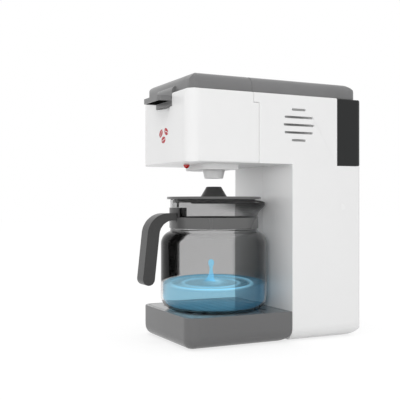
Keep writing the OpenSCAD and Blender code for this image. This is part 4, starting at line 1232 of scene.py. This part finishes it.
@dataclass
class Jug(Assembly):
    """Clear jug with strap, handle, lid, cone and the water in it."""

    label: str = "jug"
    foot_z: float = 27.3
    radius: float = 47.9
    foot_r: float = 11.0
    shoulder_z: float = 97.0
    shoulder_r: float = 12.0
    neck_r: float = 39.3
    neck_z: float = 125.0
    wall: float = 1.8
    root_r: float = 1.5
    neck_step: float = 0.5
    rim_r: float = 0.9
    axis_gap: float = 0.4
    lip_reach: float = 9.6
    lip_spread: float = 0.8
    lip_z: Span = (109.5, 123.0)
    lip_dip: float = 0.33
    band_z: float = 99.3
    band_h: float = 9.8
    band_t: float = 0.8
    band_r: float = 0.5
    band_gap: float = 0.05
    water_z: float = 49.6
    water_gap: float = 0.12
    water_edge: float = 0.5
    creep: Span = (0.6, 1.0)
    wave_start: float = 0.3
    wave_end: float = 10.2
    waves: tuple[Triple, ...] = ((36.5, 1.5, 1.3), (25.0, 1.4, 1.0), (15.0, 1.3, 0.6))
    ring_shift: float = 3.0
    ring_ease: float = 6.0
    splash: tuple[Span, ...] = (
        (9.6, 0.15), (7.3, 0.7), (5.3, 1.9), (3.6, 3.9), (2.5, 6.6), (1.8, 9.8), (1.35, 12.6), (1.6, 14.8),
        (2.4, 16.8), (2.6, 18.5), (2.1, 20.3), (1.0, 21.3), (0.2, 21.6),
    )
    splash_zone: Span = (12.0, 24.0)
    splash_shift: float = 2.7
    splash_foot_shift: float = 1.8
    splash_foot: Span = (1.0, 7.0)
    tilt: float = 0.07
    tilt_way: Span = (-0.888, 0.46)
    tilt_z: Span = (39.0, 47.0)
    # painted highlights on the wave rings
    painted_glints: tuple[PaintedGlint, ...] = (
        PaintedGlint(36.5, 1.9, 0.7, 0.35, 0.3, (0.1, 1.0)),
        PaintedGlint(25.0, 1.8, 0.25, 0.7, 0.35, (0.0, 0.9)),
        PaintedGlint(25.0, 1.8, 0.0, -0.8, limits=(0.0, 0.6)),
    )
    # painted highlights beside the splash, on its stem and on its top
    patch_place: Span = (1.0, -6.0)
    patch_size: Triple = (7.0, 15.0, 3.0)
    stem_share: float = 0.6
    stem_z: Span = (1.0, 5.0)
    stem_r: Span = (8.0, 10.0)
    splash_top_share: float = 0.8
    handle_round: float = 1.6
    around: int = 224

    @property
    def angles(self) -> np.ndarray:
        """Even angles round the brew axis, as one row."""
        return np.linspace(-np.pi, np.pi, self.around, endpoint=False)[None, :]

    @property
    def water_r(self) -> float:
        """Radius of the water where the jug's wall is upright."""
        return self.radius - self.wall - self.water_gap

    def _place(self, radius: np.ndarray, height: np.ndarray) -> np.ndarray:
        """Points of each radius and height at all angles round the brew axis, where 0 looks back."""
        x, y = radius * np.sin(self.angles), BREW_MM + radius * np.cos(self.angles)
        return at_front(np.stack([x, y, np.broadcast_to(height, x.shape)], -1))

    def _skin(self, inset: float) -> np.ndarray:
        """Half section of the jug's outer skin, moved inward by inset, from the floor to the rim's side.

        It runs along the floor, round the foot, up the side, round the shoulder, through a hollow
        root arc and up the neck. Every arc keeps its centre while its radius changes by the inset.

        Args:
            inset: How far the section lies inside the outer skin.

        Returns:
            Array of shape (points, 2) with radius and height.
        """
        foot_c = (self.radius - self.foot_r, self.foot_z + self.foot_r)
        top_c = (self.radius - self.shoulder_r, self.shoulder_z - self.shoulder_r)
        root_x = self.neck_r + self.root_r
        reach = self.shoulder_r + self.root_r
        rise = math.sqrt(reach**2 - (root_x - top_c[0]) ** 2)
        turn = math.degrees(math.atan2(rise, root_x - top_c[0]))
        root_c = (root_x, top_c[1] + rise)
        floor_z, side_x, neck_x = self.foot_z + inset, self.radius - inset, self.neck_r - inset
        return np.concatenate([
            even_line((self.axis_gap, floor_z), (foot_c[0], floor_z), 10)[:-1],
            arc(foot_c, self.foot_r - inset, -90, 0, 18)[:-1],
            even_line((side_x, foot_c[1]), (side_x, top_c[1]), 14)[:-1],
            arc(top_c, self.shoulder_r - inset, 0, turn, 16)[:-1],
            arc(root_c, self.root_r + inset, 180 + turn, 180, 8),
            even_line((neck_x, root_c[1] + self.neck_step), (neck_x, self.neck_z - self.rim_r), 26),
        ])

    def _vessel(self) -> bpy.types.Object:
        """The jug's glass, as one closed skin.

        The half section runs up the outside, round the rim and down the inside. The pouring lip adds to
        its radius the lip's reach times a bell curve of the angle from the back times an even S-shaped
        rise from the lip's foot to its top, and the same amount times a share is taken off the height.

        Returns:
            The vessel, with the lip's share at each point in its lip attribute.
        """
        outer, inner = self._skin(0.0), self._skin(self.wall)[::-1]
        rim = arc((self.neck_r - self.rim_r, self.neck_z - self.rim_r), self.rim_r, 0, 180, 9)[1:-1]
        profile = np.concatenate([outer, rim, inner])
        radius, height = profile[:, :1], profile[:, 1:]
        rise = passed(height, self.lip_z)
        share = bell(self.angles, self.lip_spread) * ease(rise)
        lip = self.lip_reach * share
        vessel = loft("jug_vessel", self._place(radius + lip, height - self.lip_dip * lip * rise))
        store_shares(vessel, "lip", share, (0.0, 0.0))
        return vessel

    def _band(self) -> bpy.types.Object:
        """The strap round the neck: a rectangle with round corners, turned about the brew axis.

        Returns:
            The strap.
        """
        inner = self.neck_r + self.band_gap
        box = np.array([[inner, inner + self.band_t, self.band_z, self.band_z + self.band_h]])
        section = rounded_rings(box, np.zeros(1), np.full((1, 2), self.band_r), 5)[0, :, :2]
        return soften(loft("neck_band_form", self._place(section[:, :1], section[:, 1:]), looped=True))

    def _water_section(self) -> tuple[np.ndarray, int]:
        """Half section of the water.

        Its side follows the jug's inner skin. The surface creeps up at the wall by an amount that
        falls off as e to the power of minus the distance. From there it runs inward over the waves,
        each a bell curve of the distance from the wave's radius, to the splash, a smooth curve.

        Returns:
            Array of shape (points, 2) with radius and height, and the number of points on the side.
        """
        edge_r = self.water_r
        side = self._skin(self.wall + self.water_gap)
        side = side[side[:, 1] < self.water_z - self.water_edge]
        side = np.concatenate([side, [[edge_r, self.water_z + self.water_edge]]])
        radius = np.linspace(edge_r - self.wave_start, self.wave_end, 120)
        height = self.water_z + self.creep[0] * np.exp(-(edge_r - radius) / self.creep[1])
        height += sum(tall * bell(radius - at, wide) for at, wide, tall in self.waves)
        splash = curve(np.array(self.splash) + np.array([0.0, self.water_z]), 72)
        return np.concatenate([side, np.stack([radius, height], 1), splash]), len(side)

    def _painted_crests(self, x: np.ndarray, y: np.ndarray, radius: np.ndarray, rise: np.ndarray) -> np.ndarray:
        """Share of the painted highlights on the water's surface.

        It is the sum of the painted glints on the waves, of a painted patch beside the splash, which is
        a bell curve along the tilt, across it and upward, and of a painted highlight on the splash's stem.

        Args:
            x: Place of each point from side to side.
            y: Depth of each point behind the brew axis.
            radius: Radius of each point in the half section.
            rise: Height of each point above the water's level.

        Returns:
            The share at each point, from 0 to 1.
        """
        downhill = -(self.tilt_way[0] * x + self.tilt_way[1] * y)
        across = self.tilt_way[1] * x - self.tilt_way[0] * y
        reach = np.maximum(radius, 1)
        shares = sum(glint.share(radius, across / reach, downhill / reach) for glint in self.painted_glints)
        beside, below = across - self.patch_place[0], downhill - self.patch_place[1]
        wide, long, tall = self.patch_size
        patch = bell(np.hypot(beside / wide, below / long), 1.0) * bell(rise, tall)
        stem = passed(rise, self.stem_z) * (1 - passed(radius, self.stem_r))
        return np.clip(shares + patch + self.stem_share * stem, 0, 1)

    def _water(self) -> bpy.types.Object:
        """The water, as one closed skin.

        Its half section is turned about the brew axis. The splash and the waves are then moved toward
        the front, and the surface is tilted as sloshing water is: the height grows with the distance
        along the tilt's direction. The splash's move and the tilt set in by S-shaped rises, and the
        waves' move sets in evenly from the wall.

        Returns:
            The water, with the share of the painted highlights at each point in its own attribute.
        """
        profile, side_count = self._water_section()
        radius, height = profile[:, :1], profile[:, 1:]
        x, y = radius * np.sin(self.angles), radius * np.cos(self.angles)
        rise = height - self.water_z
        on_top = (np.arange(len(profile)) >= side_count)[:, None]
        inward = ease(1 - passed(radius, self.splash_zone)) * on_top
        foot = 1 - passed(rise, self.splash_foot)
        from_wall = passed(self.water_r - radius, (0.0, self.ring_ease)) * on_top
        rings = np.clip(from_wall - inward, 0, 1)
        y = y - (self.splash_shift + self.splash_foot_shift * foot) * inward - self.ring_shift * rings
        lift = ease(passed(height, self.tilt_z))
        z = height + self.tilt * (self.tilt_way[0] * x + self.tilt_way[1] * y) * lift
        water = loft("jug_water", at_front(np.stack([x, y + BREW_MM, z], -1)))
        # painted highlights on the surface, stored with its points
        painted_crests = self._painted_crests(x, y, radius, rise) * on_top
        store_shares(water, "painted_crest", painted_crests, (0.0, self.splash_top_share))
        return water

    def build(self) -> None:
        """Shapes the jug's pieces."""
        self.mount(self._vessel(), Body.JUG, SMOKED, "carafe_clear", "carafe_vessel")
        self.mount(self._water(), Body.JUG, WATER, "carafe_clear")
        self.mount(self._band(), Body.JUG, BAND_GREY, "band_grey", "neck_band")
        for node, steps in (("carafe_handle", 4), ("handle_lug", 3)):
            self.polished(node, Body.JUG, HANDLE_GREY, "handle_grey", self.handle_round, steps, clamp=True)
        self.polished("carafe_lid", Body.JUG_LID, LID_DISC, "funnel_dark")
        self.polished("lid_funnel", Body.JUG_LID, FUNNEL_DARK, "funnel_dark")

    def dress(self) -> None:
        """Finishes the lug's screw."""
        self.dress_nodes(STEEL, "lug_screw")


@dataclass
class Works(Assembly):
    """Pump, electrics, battery box and tubes inside the housing."""

    label: str = "works"

    def dress(self) -> None:
        """Finishes the works."""
        self.dress_nodes(WORKS_GREY, "motor_bracket", "battery_box", "pump_housing", "pump_cover")
        self.dress_nodes(ORANGE, "pump_rotor")
        self.dress_nodes(MOTOR, "pump_motor")
        self.dress_nodes(BOARD, "circuit_board", "sensor_board")
        self.dress_nodes(BLACK, "board_parts", "switch_housing")
        self.dress_nodes(SPEAKER_GREY, "speaker")
        self.dress_nodes(KNOB, "switch_knob")
        self.dress_nodes(STEEL, "battery_contacts")
        self.dress_nodes(FOIL, "batteries")
        self.dress_nodes(TUBE, "suction_tube", "delivery_tube")


# ---------------------------------------------------------------- studio


@dataclass(frozen=True)
class Lamp:
    """Round area lamp that looks at the machine's middle."""

    name: str
    place: Triple
    size: float
    watts: float
    mirrored: bool
    aim: Triple = (0.0, 0.0, 0.1)

    def build(self) -> None:
        """Adds the lamp. Glossy surfaces show it only where it is mirrored."""
        data = bpy.data.lights.new(self.name, "AREA")
        data.shape = "DISK"
        data.size = self.size
        data.energy = self.watts
        lamp = add_object(self.name, data)
        lamp.location = self.place
        towards = Vector(self.aim) - Vector(self.place)
        lamp.rotation_euler = towards.to_track_quat("-Z", "Y").to_euler()
        lamp.visible_glossy = self.mirrored
        lamp.visible_transmission = False


@dataclass(frozen=True)
class Studio:
    """Floor, white surroundings, two lamps and camera."""

    floor_half: float = 4.0
    floor_colour: Colour = (0.8, 0.8, 0.8)
    floor_seen: Colour = (0.35, 0.35, 0.35)
    floor_glow: float = 0.72
    floor_roughness: float = 0.9
    world_level: float = 0.81
    camera_place: Triple = (0.5865, -0.33125, 0.1217)
    camera_turn: float = 63.83
    lens_mm: float = 65.76
    sensor_mm: float = 36.0
    shift: Span = (0.0047, 0.0073)
    clip: Span = (0.01, 50.0)
    lamps: tuple[Lamp, ...] = (
        Lamp("studio_key", (1.28, -0.93, 0.32), size=0.5, watts=5.6, mirrored=False),
        Lamp("studio_top", (0.05, -0.25, 1.3), size=0.22, watts=1.2, mirrored=True),
    )

    def build(self) -> None:
        """Builds floor, surroundings, lamps and camera."""
        self._floor()
        self._world()
        for lamp in self.lamps:
            lamp.build()
        self._camera()

    def _looked_at(self, graph: Graph) -> tuple[bpy.types.bpy_prop_collection, Socket]:
        """Adds the kinds of ray, and the mask of those from the camera or a glossy surface."""
        ray = graph.add("ShaderNodeLightPath").outputs
        return ray, graph.math("MAXIMUM", ray["Is Camera Ray"], ray["Is Glossy Ray"])

    def _floor(self) -> None:
        """White floor that keeps the object's shadow and shows as the white surroundings."""
        side = self.floor_half
        corners = [(-side, -side, 0.0), (side, -side, 0.0), (side, side, 0.0), (-side, side, 0.0)]
        mesh = bpy.data.meshes.new("studio_floor")
        mesh.from_pydata(corners, [], [[0, 1, 2, 3]])
        floor = add_object("studio_floor", mesh)
        material, graph, shader = start_material("studio_floor_white")
        ray, seen = self._looked_at(graph)
        unlit = graph.math("LESS_THAN", ray["Diffuse Depth"], 0.5)
        seen = graph.math("MAXIMUM", seen, graph.times(ray["Is Transmission Ray"], unlit))
        graph.feed(shader, {
            "Base Color": graph.blend(seen, shade(self.floor_colour), shade(self.floor_seen)),
            "Roughness": self.floor_roughness,
            "Specular IOR Level": 0.0,
            "Emission Color": (1.0, 1.0, 1.0, 1.0),
            "Emission Strength": graph.times(seen, self.floor_glow),
        })
        mesh.materials.append(material)

    def _world(self) -> None:
        """Even white surroundings.

        They give plain light to surfaces, are pure white where they are looked at, and send no light
        to other surfaces through the jug, so that it shades what stands behind it.
        """
        world = bpy.data.worlds.new("studio_white")
        bpy.context.scene.world = world
        world.use_nodes = True
        graph = Graph(world.node_tree)
        ray, seen = self._looked_at(graph)
        through = ray["Is Transmission Ray"]
        lit = graph.math("GREATER_THAN", ray["Diffuse Depth"], 0.5)
        seen = graph.math("MAXIMUM", seen, through)
        plain = graph.spread(seen, 0.0, 1.0, self.world_level, 1.0)
        strength = graph.times(plain, graph.fall(graph.times(through, lit), 0.0, 1.0))
        light = graph.add("ShaderNodeBackground", {"Color": (1, 1, 1, 1), "Strength": strength})
        graph.add("ShaderNodeOutputWorld", {"Surface": light.outputs[0]})

    def _camera(self) -> None:
        """Camera of the main view."""
        data = bpy.data.cameras.new("studio_camera")
        data.lens = self.lens_mm
        data.sensor_width = self.sensor_mm
        data.shift_x, data.shift_y = self.shift
        data.clip_start, data.clip_end = self.clip
        camera = add_object("studio_camera", data)
        camera.location = self.camera_place
        camera.rotation_euler = (math.radians(90), 0.0, math.radians(self.camera_turn))
        bpy.context.scene.camera = camera
        bpy.context.scene.view_settings.view_transform = "Standard"


def main() -> None:
    """Builds every sub-assembly and the studio."""
    for assembly in (Housing(), Lids(), WaterTank(), DripTray(), Jug(), Works()):
        assembly.build()
        assembly.dress()
        LOG.info("%s: %d shaped pieces", assembly.label, len(assembly.pieces))
    Studio().build()
    bpy.context.view_layer.update()


if __name__ == "__main__":
    main()
